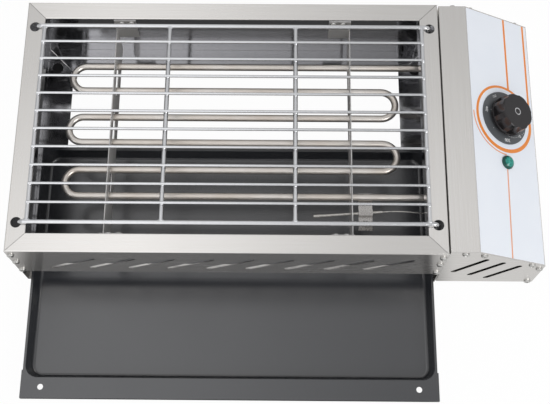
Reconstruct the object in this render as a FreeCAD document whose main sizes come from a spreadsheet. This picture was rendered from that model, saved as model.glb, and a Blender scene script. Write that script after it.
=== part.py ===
import FreeCAD
import Part
import Sketcher
import math
import os
import re

doc = FreeCAD.newDocument("ElectricGrill")

# Driving dimensions in millimetres. Lengths run left to right, depths front to back and
# heights up from the underside of the casing, unless a note says otherwise.
SIZES = {
    # casing of folded stainless sheet
    "casing_long": 471.5,
    "casing_deep": 300.5,
    "casing_high": 113.0,
    "sheet": 1.0,
    "bend": 1.3,
    "rim_side": 21.4,
    "rim_front": 21.2,
    "lip_drop": 22.0,
    "seam": 0.6,
    "drawer_high": 36.0,
    "front_return": 8.0,
    "ledge_side": 33.4,
    "ledge_back": 28.5,
    "hem": 9.0,
    "end_flange": 12.0,
    "flange_clear": 3.0,
    # slanted vents of the front wall
    "vent_left": 41.3,
    "vent_low": 54.3,
    "vent_run": 48.0,
    "vent_rise": 32.8,
    "vent_wide": 7.0,
    "vent_pitch": 43.2,
    "vent_count": 9,
    # pan head screws
    "screw_body": 4.0,
    "screw_play": 0.15,
    "screw_head": 8.0,
    "screw_crown": 6.2,
    "screw_head_high": 2.4,
    "screw_length": 8.0,
    "screw_in": 4.4,
    "screw_low": 45.0,
    "screw_mid": 75.0,
    "screw_top": 100.0,
    "nut_wide": 7.0,
    "nut_high": 3.0,
    # rubber feet
    "foot_side": 13.2,
    "foot_end": 27.7,
    "foot_wide": 20.0,
    "foot_narrow": 17.0,
    "foot_high": 9.0,
    "foot_neck": 8.0,
    "foot_head": 13.0,
    "foot_head_high": 0.8,
    # wire grate
    "thick_wire": 5.0,
    "thin_wire": 3.2,
    "wire_bend": 5.0,
    "leg_drop": 12.0,
    "grate_play": 3.5,
    "grate_hole_side": 10.3,
    "leg_in": 1.9,
    "grate_shift": 1.1,
    "grate_front_in": 32.6,
    "grate_back_in": 32.0,
    "grate_gap": 0.3,
    "bearer_side": 21.0,
    "bearer_count": 4,
    "cross_count": 10,
    "cross_past": 1.0,
    "cross_ahead": 0.6,
    # heating element and its supports
    "tube": 8.0,
    "heater_high": 68.0,
    "heater_left_in": 44.8,
    "heater_right_in": 42.9,
    "hairpin": 31.4,
    "pair_pitch": 65.1,
    "pair_count": 3,
    "pair_shift": 10.15,
    "heater_past": 18.0,
    "support_side": 99.3,
    "support_sheet": 1.0,
    "support_top": 88.0,
    "support_low": 44.0,
    "support_play": 2.4,
    "tab_wide": 25.0,
    "tab_top": 110.0,
    "tab_low": 72.0,
    "tab_screw_in": 8.8,
    "tab_screw_pitch": 11.2,
    "tab_screw_high": 105.0,
    "bush": 14.0,
    "bush_head": 19.0,
    "bush_head_high": 3.0,
    "bush_past": 9.0,
    "bush_clear": 0.2,
    "bush_nut_high": 4.0,
    "bush_nut_wide": 20.0,
    "pin": 3.0,
    "pin_past": 2.0,
    "bead": 9.0,
    "bead_long": 7.0,
    "spade_wide": 6.3,
    "spade_thick": 0.8,
    "spade_long": 10.0,
    # temperature probe and its clip
    "probe": 3.2,
    "probe_long": 77.0,
    "probe_ahead": 17.7,
    "probe_left": 50.5,
    "probe_slope": 0.073,
    "probe_tip_long": 10.0,
    "probe_tip_wide": 3.7,
    "probe_play": 1.2,
    "capillary": 1.4,
    "capillary_play": 1.4,
    "capillary_lead": 12.0,
    "capillary_rise": 1.5,
    "capillary_crest": 40.0,
    "capillary_wall": 16.0,
    "capillary_sink": 14.0,
    "capillary_turn": 24.0,
    "clip_right_in": 75.9,
    "clip_wide": 15.5,
    "clip_sheet": 0.8,
    "clip_reach": 36.0,
    "clip_play": 0.1,
    "clip_band": 7.0,
    "clip_hook": 3.4,
    "clip_nose": 5.0,
    "clip_hole": 2.0,
    # drip tray
    "tray_play": 4.0,
    "tray_short": 2.5,
    "tray_stop": 1.0,
    "tray_out": 138.8,
    "tray_shift": 2.1,
    "tray_gap": 0.3,
    "tray_high": 16.8,
    "tray_sheet": 0.9,
    "tray_draft": 5.0,
    "tray_rim": 2.6,
    "tray_rim_down": 4.0,
    "tray_rim_inset": 1.2,
    "tray_flange": 21.6,
    "tray_step": 31.0,
    "tray_flange_down": 6.0,
    "tray_corner": 15.0,
    "tray_fillet": 4.0,
    "tray_hole": 6.5,
    "tray_hole_in": 22.0,
    "tray_hole_front": 12.4,
    # control box
    "box_gap": 1.3,
    "box_inset": 2.0,
    "box_flat": 30.4,
    "box_long": 111.2,
    "box_side_high": 65.4,
    "box_cover_high": 10.0,
    "box_cover_clear": 0.3,
    "box_screw_in": 4.6,
    "box_screw_top": 16.7,
    "box_screw_upper": 10.7,
    "box_screw_lower": 78.6,
    "box_screw_side": 54.8,
    "box_screw_foot": 6.5,
    "box_screw_foot_high": 4.9,
    "box_vent_left": 14.2,
    "box_vent_low": 40.8,
    "box_vent_run": 28.4,
    "box_vent_rise": 46.0,
    "box_vent_wide": 6.0,
    "box_vent_pitch": 20.2,
    "box_vent_drop": 11.6,
    "box_vent_count": 3,
    "stay_in": 22.0,
    "stay_low": 30.0,
    "stay_high": 84.0,
    "spacer": 9.0,
    # front of the control box: printed label, dial and knob on the slanted panel
    "label_thick": 0.3,
    "label_in": 1.5,
    "dial_down": 48.0,
    "dial_back": 18.15,
    "dial_wide": 63.0,
    "dial_thick": 1.2,
    "knob_lift": 3.6,
    "knob_skirt": 46.0,
    "knob_skirt_high": 3.2,
    "knob_wide": 43.5,
    "knob_high": 15.0,
    "knob_lobes": 8,
    "knob_flute": 22.0,
    "knob_flute_deep": 2.2,
    "knob_taper": 1.5,
    "knob_round": 1.6,
    "knob_disc": 9.0,
    "knob_disc_deep": 0.5,
    "shaft": 6.0,
    "shaft_flat": 4.6,
    "shaft_play": 0.05,
    "shaft_up": 15.0,
    "shaft_down": 14.0,
    "shaft_hole": 10.0,
    "knob_bore_gap": 0.05,
    "lamp_down": 48.3,
    "lamp_ahead": 53.7,
    "lamp_wide": 16.0,
    "lamp_dome": 4.2,
    "lamp_rim": 1.2,
    "lamp_play": 0.2,
    "lamp_barrel": 12.0,
    "lamp_barrel_long": 24.0,
    "lamp_nut": 17.0,
    "lamp_nut_high": 3.0,
    # thermostat under the panel
    "stat_plate_long": 44.0,
    "stat_plate_wide": 18.0,
    "stat_plate_thick": 1.5,
    "stat_wide": 36.0,
    "stat_high": 24.0,
    "stat_neck": 12.0,
    "stat_neck_high": 6.0,
    "stat_screw_pitch": 28.0,
    "stat_tab": 6.3,
    "stat_tab_long": 8.0,
    "stat_round": 3.0,
    "stat_port": 16.0,
    "stat_nipple": 5.0,
    "stat_nipple_wide": 4.0,
    "lamp_tab": 4.8,
    # terminal block and cable entry
    "block_long": 38.0,
    "block_wide": 22.0,
    "block_high": 18.0,
    "block_left": 34.0,
    "block_back": 64.5,
    "block_ways": 3,
    "block_way": 5.0,
    "block_sink": 1.5,
    "gland_in": 56.0,
    "gland_high": 30.0,
    "gland_bore": 8.0,
    "gland_body": 16.0,
    "gland_flange": 22.0,
    "gland_flange_high": 5.0,
    "gland_long": 14.0,
    "gland_nose": 13.0,
    "gland_nose_high": 9.0,
    "gland_nut_high": 5.0,
    "gland_nut_wide": 24.0,
    "gland_clear": 0.2,
}

sheet = doc.addObject("Spreadsheet::Sheet", "Sizes")
for row, (name, size) in enumerate(SIZES.items(), start=1):
    sheet.set("A%d" % row, name)
    sheet.set("B%d" % row, str(size))
    sheet.setAlias("B%d" % row, name)
doc.recompute()

# Places worked out from the sizes. Across runs from the casing's left face, depth from its
# front face and height from its underside; down runs along the slanted panel from its top.
PLACES = {
    "screw_hole": "screw_body + 2 * screw_play",
    "dial_depth": "casing_deep / 2 + dial_back",
    "lamp_depth": "dial_depth - lamp_ahead",
    "grate_hole": "thick_wire + 2 * grate_play",
    "grate_front": "grate_front_in",
    "grate_back": "casing_deep - grate_back_in",
    "leg_left": "grate_hole_side + leg_in + grate_shift",
    "leg_right": "casing_long - grate_hole_side - leg_in + grate_shift",
    "cross_pitch": "(grate_back - grate_front) / (cross_count + 1)",
    "tray_long": "casing_long - 2 * sheet - 2 * tray_play",
    "tray_deep": "casing_deep - tray_short",
    "tray_back": "casing_deep - 2 * sheet - tray_stop - tray_out",
    "tray_left": "(casing_long - tray_long) / 2 + tray_shift",
    "tray_right": "tray_left + tray_long",
    "tray_front": "tray_back - tray_deep",
    "tray_under": "2 * sheet + tray_gap",
    "tray_top": "tray_under + tray_high",
    "box_left": "casing_long + box_gap",
    "box_right": "box_left + box_long",
    "box_front": "box_inset",
    "box_back": "casing_deep - box_inset",
    "box_deep": "box_back - box_front",
    "block_front": "box_back - block_back",
    "slope_top": "box_left + box_flat",
    "slope_run": "box_right - slope_top",
    "slope_drop": "casing_high - box_side_high",
    "slope_long": "hypot(slope_run; slope_drop)",
    "slope_cos": "slope_run / slope_long",
    "slope_sin": "slope_drop / slope_long",
    "middle_across": "box_right / 2",
    "gland_reach": "gland_flange_high + gland_nose_high",
    "middle_depth": "(tray_front + box_back + gland_reach) / 2",
    "wire_high": "casing_high + grate_gap + thick_wire / 2",
    "cross_high": "wire_high + thick_wire / 2 + thin_wire / 2",
    "pin_gap": "hairpin / 2",
    "turn_gap": "(pair_pitch - hairpin) / 2",
    "left_turn": "heater_left_in + tube / 2 + pin_gap",
    "right_turn": "casing_long - heater_right_in - tube / 2 - turn_gap",
    "pair_middle": "casing_deep / 2 + pair_shift",
    "rod_front": "pair_middle - (pair_count - 1) / 2 * pair_pitch - pin_gap",
    "rod_back": "pair_middle + (pair_count - 1) / 2 * pair_pitch + pin_gap",
    "slot_high": "tube + 2 * support_play",
    "clip_top": "heater_high - tube / 2 - clip_play",
    "hook_face": "rod_front + tube / 2 + clip_play",
    "clip_left": "casing_long - clip_right_in - clip_wide",
    "clip_front": "rod_front - clip_reach",
    "probe_depth": "rod_front - probe_ahead",
    "probe_high": "clip_top + probe / 2",
    "band_high": "probe_high + probe / 2 + clip_play",
    "probe_tip": "clip_left - probe_left",
    "probe_end": "probe_tip + probe_long",
    "probe_middle": "clip_left + clip_wide / 2",
    "capillary_hole": "capillary + 2 * capillary_play",
    "shaft_bore": "shaft + 2 * shaft_play",
    "lamp_hole": "lamp_barrel + 2 * lamp_play",
    "heater_end": "box_left + sheet + heater_past",
    "dial_top": "label_thick + dial_thick",
    "knob_under": "dial_top + knob_lift",
    "knob_waist": "knob_under + knob_skirt_high",
    "knob_top": "knob_waist + knob_high",
}

places = doc.addObject("App::VarSet", "Places")


def bind(formula):
    """A formula in plain names, with each name tied to the sheet or to the places."""
    def tie(match):
        word = match.group()
        if word in SIZES:
            return "Sizes." + word
        return "Places." + word if word in PLACES else word
    return re.sub(r"[a-z_]+", tie, str(formula))


def value(formula):
    """The number that a formula in plain names gives at the present sizes."""
    result = places.evalExpression(bind(formula))
    return float(getattr(result, "Value", result))


for name, formula in PLACES.items():
    places.addProperty("App::PropertyFloat", name, "Places")
    places.setExpression(name, bind(formula))
doc.recompute()

WAYS = {
    "X": FreeCAD.Vector(1, 0, 0),
    "-X": FreeCAD.Vector(-1, 0, 0),
    "Y": FreeCAD.Vector(0, 1, 0),
    "-Y": FreeCAD.Vector(0, -1, 0),
    "Z": FreeCAD.Vector(0, 0, 1),
    "-Z": FreeCAD.Vector(0, 0, -1),
}

parts = []
NORMALS = {"X": "YZ_Plane", "Y": "XZ_Plane", "Z": "XY_Plane"}


def set_place(thing, at, turn=None):
    """Stand an object at three formulas, turned by an axis and an angle formula."""
    if turn:
        axis, angle = turn
        thing.Placement = FreeCAD.Placement(FreeCAD.Vector(), FreeCAD.Rotation(axis, value(angle)))
        thing.setExpression("Placement.Rotation.Angle", bind(angle))
    for axis, formula in zip("xyz", at):
        thing.setExpression("Placement.Base." + axis, bind(formula))


def finish(thing, label, on_panel=None):
    """Name a sub-part and stand it in the assembly, or on the slanted panel."""
    thing.Label = label
    parts.append(thing)
    if on_panel is None:
        set_place(thing, ("-middle_across", "-middle_depth", "foot_high"))
        return
    down, depth = on_panel
    set_place(thing, (
        "slope_top + (%s) * slope_cos - middle_across" % down,
        "(%s) - middle_depth" % depth,
        "foot_high + casing_high - (%s) * slope_sin" % down,
    ), (FreeCAD.Vector(0, 1, 0), "atan2(slope_drop; slope_run)"))


def new_body(name):
    return doc.addObject("PartDesign::Body", name)


def origin_part(body, role):
    return next(item for item in body.Origin.OriginFeatures if item.Role == role)


def hold(drawing, element, point, across, up):
    """Fix a sketch point at two formulas."""
    for kind, formula in (("DistanceX", across), ("DistanceY", up)):
        rule = Sketcher.Constraint(kind, -1, 1, element, point, value(formula))
        index = drawing.addConstraint(rule)
        drawing.setExpression("Constraints[%d]" % index, bind(formula))


def draw_outline(drawing, points):
    """A closed outline of straight lines through points given as formulas."""
    spots = [FreeCAD.Vector(value(across), value(up), 0) for across, up in points]
    lines = [drawing.addGeometry(Part.LineSegment(a, b)) for a, b in zip(spots, spots[1:] + spots[:1])]
    for line, following in zip(lines, lines[1:] + lines[:1]):
        drawing.addConstraint(Sketcher.Constraint("Coincident", line, 2, following, 1))
    for line, (across, up) in zip(lines, points):
        hold(drawing, line, 1, across, up)


def draw_circle(drawing, across, up, wide):
    centre = FreeCAD.Vector(value(across), value(up), 0)
    ring = drawing.addGeometry(Part.Circle(centre, FreeCAD.Vector(0, 0, 1), value(wide) / 2))
    hold(drawing, ring, 3, across, up)
    index = drawing.addConstraint(Sketcher.Constraint("Diameter", ring, value(wide)))
    drawing.setExpression("Constraints[%d]" % index, bind(wide))


def draw_slot(drawing, across, up, to_across, to_up, wide):
    """A slot with round ends, whose end centres are given as formulas."""
    a = FreeCAD.Vector(value(across), value(up), 0)
    b = FreeCAD.Vector(value(to_across), value(to_up), 0)
    radius = value(wide) / 2
    side = FreeCAD.Vector(a.y - b.y, b.x - a.x, 0).normalize() * radius
    turn = math.atan2(side.y, side.x)
    up_axis = FreeCAD.Vector(0, 0, 1)
    first = drawing.addGeometry(Part.LineSegment(a + side, b + side))
    far = drawing.addGeometry(Part.ArcOfCircle(Part.Circle(b, up_axis, radius), turn - math.pi, turn))
    second = drawing.addGeometry(Part.LineSegment(b - side, a - side))
    near = drawing.addGeometry(Part.ArcOfCircle(Part.Circle(a, up_axis, radius), turn, turn + math.pi))
    joins = ((first, 2, far, 2), (far, 1, second, 1), (second, 2, near, 2), (near, 1, first, 1))
    for one, end, other, start in joins:
        drawing.addConstraint(Sketcher.Constraint("Tangent", one, end, other, start))
    drawing.addConstraint(Sketcher.Constraint("Equal", far, near))
    hold(drawing, near, 3, across, up)
    hold(drawing, far, 3, to_across, to_up)
    index = drawing.addConstraint(Sketcher.Constraint("Radius", far, radius))
    drawing.setExpression("Constraints[%d]" % index, bind("(%s) / 2" % wide))


def draw_rounded(drawing, left, low, right, high, radius):
    """A rectangle with round corners between two opposite corners given as formulas."""
    corners = [(left, "+", low, "+"), (right, "-", low, "+"), (right, "-", high, "-"), (left, "+", high, "-")]
    arcs = []
    for number, (across, inward, up, upward) in enumerate(corners):
        place = ("%s %s (%s)" % (across, inward, radius), "%s %s (%s)" % (up, upward, radius))
        centre = FreeCAD.Vector(value(place[0]), value(place[1]), 0)
        circle = Part.Circle(centre, FreeCAD.Vector(0, 0, 1), value(radius))
        start = (number - 2) * math.pi / 2
        arcs.append((drawing.addGeometry(Part.ArcOfCircle(circle, start, start + math.pi / 2)), place))
    for (arc, place), (following, unused) in zip(arcs, arcs[1:] + arcs[:1]):
        a = drawing.Geometry[arc].EndPoint
        b = drawing.Geometry[following].StartPoint
        line = drawing.addGeometry(Part.LineSegment(a, b))
        drawing.addConstraint(Sketcher.Constraint("Tangent", arc, 2, line, 1))
        drawing.addConstraint(Sketcher.Constraint("Tangent", line, 2, following, 1))
    hold(drawing, arcs[0][0], 3, *arcs[0][1])
    hold(drawing, arcs[2][0], 3, *arcs[2][1])
    for arc, place in arcs[1:]:
        drawing.addConstraint(Sketcher.Constraint("Equal", arcs[0][0], arc))
    index = drawing.addConstraint(Sketcher.Constraint("Radius", arcs[0][0], value(radius)))
    drawing.setExpression("Constraints[%d]" % index, bind(radius))


def draw(body, normal, start, shapes):
    """A sketch square to an axis, at a place along it, holding outlines, circles and slots."""
    drawing = body.newObject("Sketcher::SketchObject", body.Name + "_sketch")
    drawing.AttachmentSupport = [(origin_part(body, NORMALS[normal]), "")]
    drawing.MapMode = "FlatFace"
    drawing.setExpression("AttachmentOffset.Base.z", bind("-(%s)" % start if normal == "Y" else start))
    for shape in shapes:
        if shape[0] == "circle":
            draw_circle(drawing, *shape[1:])
        elif shape[0] == "slot":
            draw_slot(drawing, *shape[1:])
        elif shape[0] == "rounded":
            draw_rounded(drawing, *shape[1:])
        else:
            draw_outline(drawing, shape)
    return drawing


def add(body, normal, start, length, shapes, name="Pad"):
    """Sheet or solid grown from a sketch, towards the positive end of its axis."""
    pad = body.newObject("PartDesign::Pad", body.Name + "_" + name)
    pad.Profile = draw(body, normal, start, shapes)
    pad.setExpression("Length", bind(length))
    pad.Reversed = normal == "Y"
    doc.recompute()
    return pad


def cut(body, normal, start, length, shapes):
    """An opening cut from a sketch, towards the positive end of its axis."""
    before = body.Shape.Volume
    pocket = body.newObject("PartDesign::Pocket", body.Name + "_Pocket")
    pocket.Profile = draw(body, normal, start, shapes)
    pocket.setExpression("Length", bind(length))
    pocket.Reversed = normal != "Y"
    doc.recompute()
    if not pocket.Shape.Volume < before - 1e-6:
        raise RuntimeError("nothing is cut in " + body.Name)
    return pocket


def from_side(side, formula):
    """A place across, measured in from the casing's left or right face."""
    return formula if side == "left" else "casing_long - (%s)" % formula


def edges_along(shape, normal, spots):
    """Straight edges along an axis that pass through the stated spots of the cross plane."""
    axis = "XYZ".index(normal)
    others = [i for i in range(3) if i != axis]
    wanted = [(value(across), value(up)) for across, up in spots]
    found = []
    for number, edge in enumerate(shape.Edges, start=1):
        ends = [vertex.Point for vertex in edge.Vertexes]
        if len(ends) < 2 or any(abs(ends[0][i] - ends[1][i]) > 1e-4 for i in others):
            continue
        if any(math.dist([ends[0][i] for i in others], spot) < 1e-3 for spot in wanted):
            found.append("Edge%d" % number)
    return found


def round_edges(body, radius, names):
    """Rounded edges on the last feature of a body."""
    base = body.Tip
    fillet = body.newObject("PartDesign::Fillet", body.Name + "_Bends")
    fillet.Base = (base, names)
    fillet.setExpression("Radius", bind(radius))
    doc.recompute()
    return fillet


def fold(body, normal, outer, inner):
    """Bend radii of a folded sheet: the sheet's outer corners and its inner corners."""
    round_edges(body, "bend", edges_along(body.Tip.Shape, normal, outer))
    round_edges(body, "bend - sheet", edges_along(body.Tip.Shape, normal, inner))


def repeat(body, feature, axis, length, count):
    """A feature repeated in a straight row; the length is that of the whole row."""
    pattern = body.newObject("PartDesign::LinearPattern", body.Name + "_Row")
    pattern.Originals = [feature]
    pattern.Direction = (origin_part(body, axis + "_Axis"), [""])
    pattern.setExpression("Length", bind(length))
    pattern.setExpression("Occurrences", bind(count))
    body.Tip = pattern
    doc.recompute()
    return pattern


def cylinder(name, wide, long, at=("0", "0", "0"), facing="Z"):
    """A round bar whose axis starts at a place and runs along the way that it faces."""
    bar = doc.addObject("Part::Cylinder", name)
    bar.setExpression("Radius", bind("(%s) / 2" % wide))
    bar.setExpression("Height", bind(long))
    bar.Placement.Rotation = FreeCAD.Rotation(FreeCAD.Vector(0, 0, 1), WAYS[facing])
    set_place(bar, at)
    return bar


def box(name, long, deep, high, at):
    block = doc.addObject("Part::Box", name)
    for side, formula in (("Length", long), ("Width", deep), ("Height", high)):
        block.setExpression(side, bind(formula))
    set_place(block, at)
    return block


def fuse(name, pieces):
    whole = doc.addObject("Part::MultiFuse", name)
    whole.Shapes = pieces
    return whole


def less(name, base, tool):
    rest = doc.addObject("Part::Cut", name)
    rest.Base = base
    rest.Tool = tool
    return rest


def group(name, pieces):
    """Like pieces kept together as separate solids."""
    together = doc.addObject("Part::Compound", name)
    together.Links = pieces
    return together


def screw(name, at, facing, long="screw_length"):
    """A pan head screw, its head seated at the place and facing the stated way."""
    head = doc.addObject("Part::Cone", name + "_head")
    head.setExpression("Radius1", bind("screw_head / 2"))
    head.setExpression("Radius2", bind("screw_crown / 2"))
    head.setExpression("Height", bind("screw_head_high"))
    shank = cylinder(name + "_shank", "screw_body", long, facing="-Z")
    whole = fuse(name, [head, shank])
    whole.Placement.Rotation = FreeCAD.Rotation(FreeCAD.Vector(0, 0, 1), WAYS[facing])
    set_place(whole, at)
    return whole


def nut(name, wide, high, bore, at, facing):
    """A hexagon nut, its seat at the place and its far face the way that it faces."""
    hexagon = doc.addObject("Part::Prism", name + "_hexagon")
    hexagon.Polygon = 6
    hexagon.setExpression("Circumradius", bind("(%s) / sqrt(3)" % wide))
    hexagon.setExpression("Height", bind(high))
    hole = cylinder(name + "_bore", bore, high)
    whole = less(name, hexagon, hole)
    whole.Placement.Rotation = FreeCAD.Rotation(FreeCAD.Vector(0, 0, 1), WAYS[facing])
    set_place(whole, at)
    return whole


# Front wall: rim with a folded lip above, vents, and the drawer opening below
front = new_body("front_panel")
add(front, "X", "0", "casing_long", [[
    ("0", "drawer_high"),
    ("0", "casing_high"),
    ("rim_front", "casing_high"),
    ("rim_front", "casing_high - lip_drop"),
    ("rim_front - sheet", "casing_high - lip_drop"),
    ("rim_front - sheet", "casing_high - sheet"),
    ("sheet", "casing_high - sheet"),
    ("sheet", "drawer_high + sheet"),
    ("front_return", "drawer_high + sheet"),
    ("front_return", "drawer_high"),
]])
fold(front, "X",
     [("0", "drawer_high"), ("0", "casing_high"), ("rim_front", "casing_high")],
     [("sheet", "drawer_high + sheet"), ("sheet", "casing_high - sheet"),
      ("rim_front - sheet", "casing_high - sheet")])
for side in ("left", "right"):
    cut(front, "Z", "0", "casing_high + sheet", [[
        (from_side(side, "-sheet"), "sheet"),
        (from_side(side, "seam + sheet * rim_side / rim_front"), "sheet"),
        (from_side(side, "seam + rim_side"), "rim_front"),
        (from_side(side, "seam + rim_side"), "rim_front + sheet"),
        (from_side(side, "-sheet"), "rim_front + sheet"),
    ]])
vent = cut(front, "Y", "-sheet", "3 * sheet", [(
    "slot", "vent_left", "vent_low", "vent_left + vent_run", "vent_low + vent_rise", "vent_wide")])
repeat(front, vent, "X", "vent_pitch * (vent_count - 1)", "vent_count")
SCREW_HEIGHTS = ("screw_low", "screw_mid", "screw_top")
TAB_SCREWS = [
    ("" if side == "left" else "casing_long - ") + "(support_side + tab_screw_in + %d * tab_screw_pitch)" % step
    for side in ("left", "right") for step in (0, 1)]
cut(front, "Y", "rim_front - 2 * sheet", "3 * sheet", [
    ("circle", across, "tab_screw_high", "screw_hole") for across in TAB_SCREWS])
cut(front, "Y", "-sheet", "3 * sheet", [
    ("circle", across, height, "screw_hole")
    for across in ("screw_in", "casing_long - screw_in") for height in SCREW_HEIGHTS])
finish(front, "front_panel")

# Back wall: the same rim and lip, and a ledge at the bottom with a hemmed edge
back = new_body("back_panel")
add(back, "X", "0", "casing_long", [[
    ("casing_deep", "0"),
    ("casing_deep", "casing_high"),
    ("casing_deep - rim_front", "casing_high"),
    ("casing_deep - rim_front", "casing_high - lip_drop"),
    ("casing_deep - rim_front + sheet", "casing_high - lip_drop"),
    ("casing_deep - rim_front + sheet", "casing_high - sheet"),
    ("casing_deep - sheet", "casing_high - sheet"),
    ("casing_deep - sheet", "sheet"),
    ("casing_deep - ledge_back + hem", "sheet"),
    ("casing_deep - ledge_back + hem", "2 * sheet"),
    ("casing_deep - ledge_back", "2 * sheet"),
    ("casing_deep - ledge_back", "0"),
]])
fold(back, "X",
     [("casing_deep", "0"), ("casing_deep", "casing_high"), ("casing_deep - rim_front", "casing_high")],
     [("casing_deep - sheet", "sheet"), ("casing_deep - sheet", "casing_high - sheet"),
      ("casing_deep - rim_front + sheet", "casing_high - sheet")])
for side in ("left", "right"):
    cut(back, "Z", "casing_high / 2", "casing_high", [[
        (from_side(side, "-sheet"), "casing_deep - sheet"),
        (from_side(side, "seam + sheet * rim_side / rim_front"), "casing_deep - sheet"),
        (from_side(side, "seam + rim_side"), "casing_deep - rim_front"),
        (from_side(side, "seam + rim_side"), "casing_deep - rim_front - sheet"),
        (from_side(side, "-sheet"), "casing_deep - rim_front - sheet"),
    ]])
    cut(back, "Z", "-sheet", "casing_high / 2", [[
        (from_side(side, "-sheet"), "casing_deep - sheet"),
        (from_side(side, "seam + sheet"), "casing_deep - sheet"),
        (from_side(side, "seam + ledge_back"), "casing_deep - ledge_back"),
        (from_side(side, "seam + ledge_back"), "casing_deep - ledge_back - sheet"),
        (from_side(side, "-sheet"), "casing_deep - ledge_back - sheet"),
    ]])
cut(back, "Y", "casing_deep - rim_front - sheet", "3 * sheet", [
    ("circle", across, "tab_screw_high", "screw_hole") for across in TAB_SCREWS])
cut(back, "Y", "casing_deep - 2 * sheet", "3 * sheet", [
    ("circle", across, height, "screw_hole")
    for across in ("screw_in", "casing_long - screw_in") for height in SCREW_HEIGHTS])
finish(back, "back_panel")


# Side walls: rim, lip, the ledge that the tray slides on, and flanges behind the end walls
def side_panel(side):
    wall = new_body(side + "_side_panel")
    add(wall, "Y", "sheet", "casing_deep - 2 * sheet", [[
        (from_side(side, "0"), "0"),
        (from_side(side, "0"), "casing_high"),
        (from_side(side, "rim_side"), "casing_high"),
        (from_side(side, "rim_side"), "casing_high - lip_drop"),
        (from_side(side, "rim_side - sheet"), "casing_high - lip_drop"),
        (from_side(side, "rim_side - sheet"), "casing_high - sheet"),
        (from_side(side, "sheet"), "casing_high - sheet"),
        (from_side(side, "sheet"), "sheet"),
        (from_side(side, "ledge_side - hem"), "sheet"),
        (from_side(side, "ledge_side - hem"), "2 * sheet"),
        (from_side(side, "ledge_side"), "2 * sheet"),
        (from_side(side, "ledge_side"), "0"),
    ]])
    fold(wall, "Y",
         [(from_side(side, "0"), "0"), (from_side(side, "0"), "casing_high"),
          (from_side(side, "rim_side"), "casing_high")],
         [(from_side(side, "sheet"), "sheet"), (from_side(side, "sheet"), "casing_high - sheet"),
          (from_side(side, "rim_side - sheet"), "casing_high - sheet")])
    lip_foot = "casing_high - lip_drop - sheet"
    cut(wall, "Z", lip_foot, "lip_drop + 2 * sheet", [[
        (from_side(side, "sheet * rim_side / rim_front"), "0"),
        (from_side(side, "sheet * rim_side / rim_front"), "sheet"),
        (from_side(side, "rim_side"), "rim_front"),
        (from_side(side, "rim_side + sheet"), "rim_front"),
        (from_side(side, "rim_side + sheet"), "0"),
    ]])
    cut(wall, "Z", lip_foot, "lip_drop + 2 * sheet", [[
        (from_side(side, "sheet * rim_side / rim_front"), "casing_deep"),
        (from_side(side, "sheet * rim_side / rim_front"), "casing_deep - sheet"),
        (from_side(side, "rim_side"), "casing_deep - rim_front"),
        (from_side(side, "rim_side + sheet"), "casing_deep - rim_front"),
        (from_side(side, "rim_side + sheet"), "casing_deep"),
    ]])
    cut(wall, "Z", "-sheet", "4 * sheet", [[
        (from_side(side, "sheet"), "casing_deep"),
        (from_side(side, "sheet"), "casing_deep - sheet"),
        (from_side(side, "ledge_back"), "casing_deep - ledge_back"),
        (from_side(side, "ledge_back"), "casing_deep - ledge_back - seam"),
        (from_side(side, "ledge_side + sheet"), "casing_deep - ledge_back - seam"),
        (from_side(side, "ledge_side + sheet"), "casing_deep"),
    ]])
    for at, low in (("sheet", "drawer_high + flange_clear"), ("casing_deep - 2 * sheet", "flange_clear")):
        add(wall, "Y", at, "sheet", [[
            (from_side(side, "sheet / 2"), low),
            (from_side(side, "sheet / 2"), "casing_high - flange_clear"),
            (from_side(side, "end_flange"), "casing_high - flange_clear"),
            (from_side(side, "end_flange"), low),
        ]], "EndFlange")
    cut(wall, "Y", "0", "casing_deep", [
        ("circle", from_side(side, "screw_in"), height, "screw_hole") for height in SCREW_HEIGHTS])
    cut(wall, "Z", "casing_high - 2 * sheet", "3 * sheet", [
        ("circle", from_side(side, "grate_hole_side"), depth, "grate_hole")
        for depth in ("grate_front", "grate_back")])
    cut(wall, "Z", "-sheet", "3 * sheet", [
        ("circle", from_side(side, "foot_side"), depth, "foot_neck")
        for depth in ("foot_end", "casing_deep - foot_end")])
    if side == "right":
        cut(wall, "X", "casing_long - 2 * sheet", "3 * sheet", [
            ("circle", "rod_front", "heater_high", "bush + bush_clear"),
            ("circle", "rod_back", "heater_high", "bush + bush_clear"),
            ("circle", "probe_depth", "probe_high", "capillary_hole"),
        ] + [("circle", depth, height, "screw_hole") for depth, height in STAYS])
    finish(wall, side + "_side_panel")


STAYS = [
    (depth, height) for depth in ("stay_in", "casing_deep - stay_in") for height in ("stay_low", "stay_high")]
side_panel("left")
side_panel("right")

for place, face, facing in (("front", "0", "-Y"), ("back", "casing_deep", "Y")):
    finish(group(place + "_screws", [
        screw("%s_screw_%d_%d" % (place, i, j), (across, face, height), facing)
        for i, across in enumerate(("screw_in", "casing_long - screw_in"))
        for j, height in enumerate(SCREW_HEIGHTS)]), place + "_panel_screws")

# Rubber feet pushed up through the side ledges and held by their heads
for across_name, across in (("left", "foot_side"), ("right", "casing_long - foot_side")):
    for depth_name, depth in (("front", "foot_end"), ("back", "casing_deep - foot_end")):
        name = "foot_%s_%s" % (depth_name, across_name)
        pad_cone = doc.addObject("Part::Cone", name + "_pad")
        pad_cone.setExpression("Radius1", bind("foot_narrow / 2"))
        pad_cone.setExpression("Radius2", bind("foot_wide / 2"))
        pad_cone.setExpression("Height", bind("foot_high"))
        set_place(pad_cone, (across, depth, "-foot_high"))
        neck = cylinder(name + "_neck", "foot_neck", "sheet", (across, depth, "0"))
        head = cylinder(name + "_head", "foot_head", "foot_head_high", (across, depth, "sheet"))
        finish(fuse(name, [pad_cone, neck, head]), name)

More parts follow.
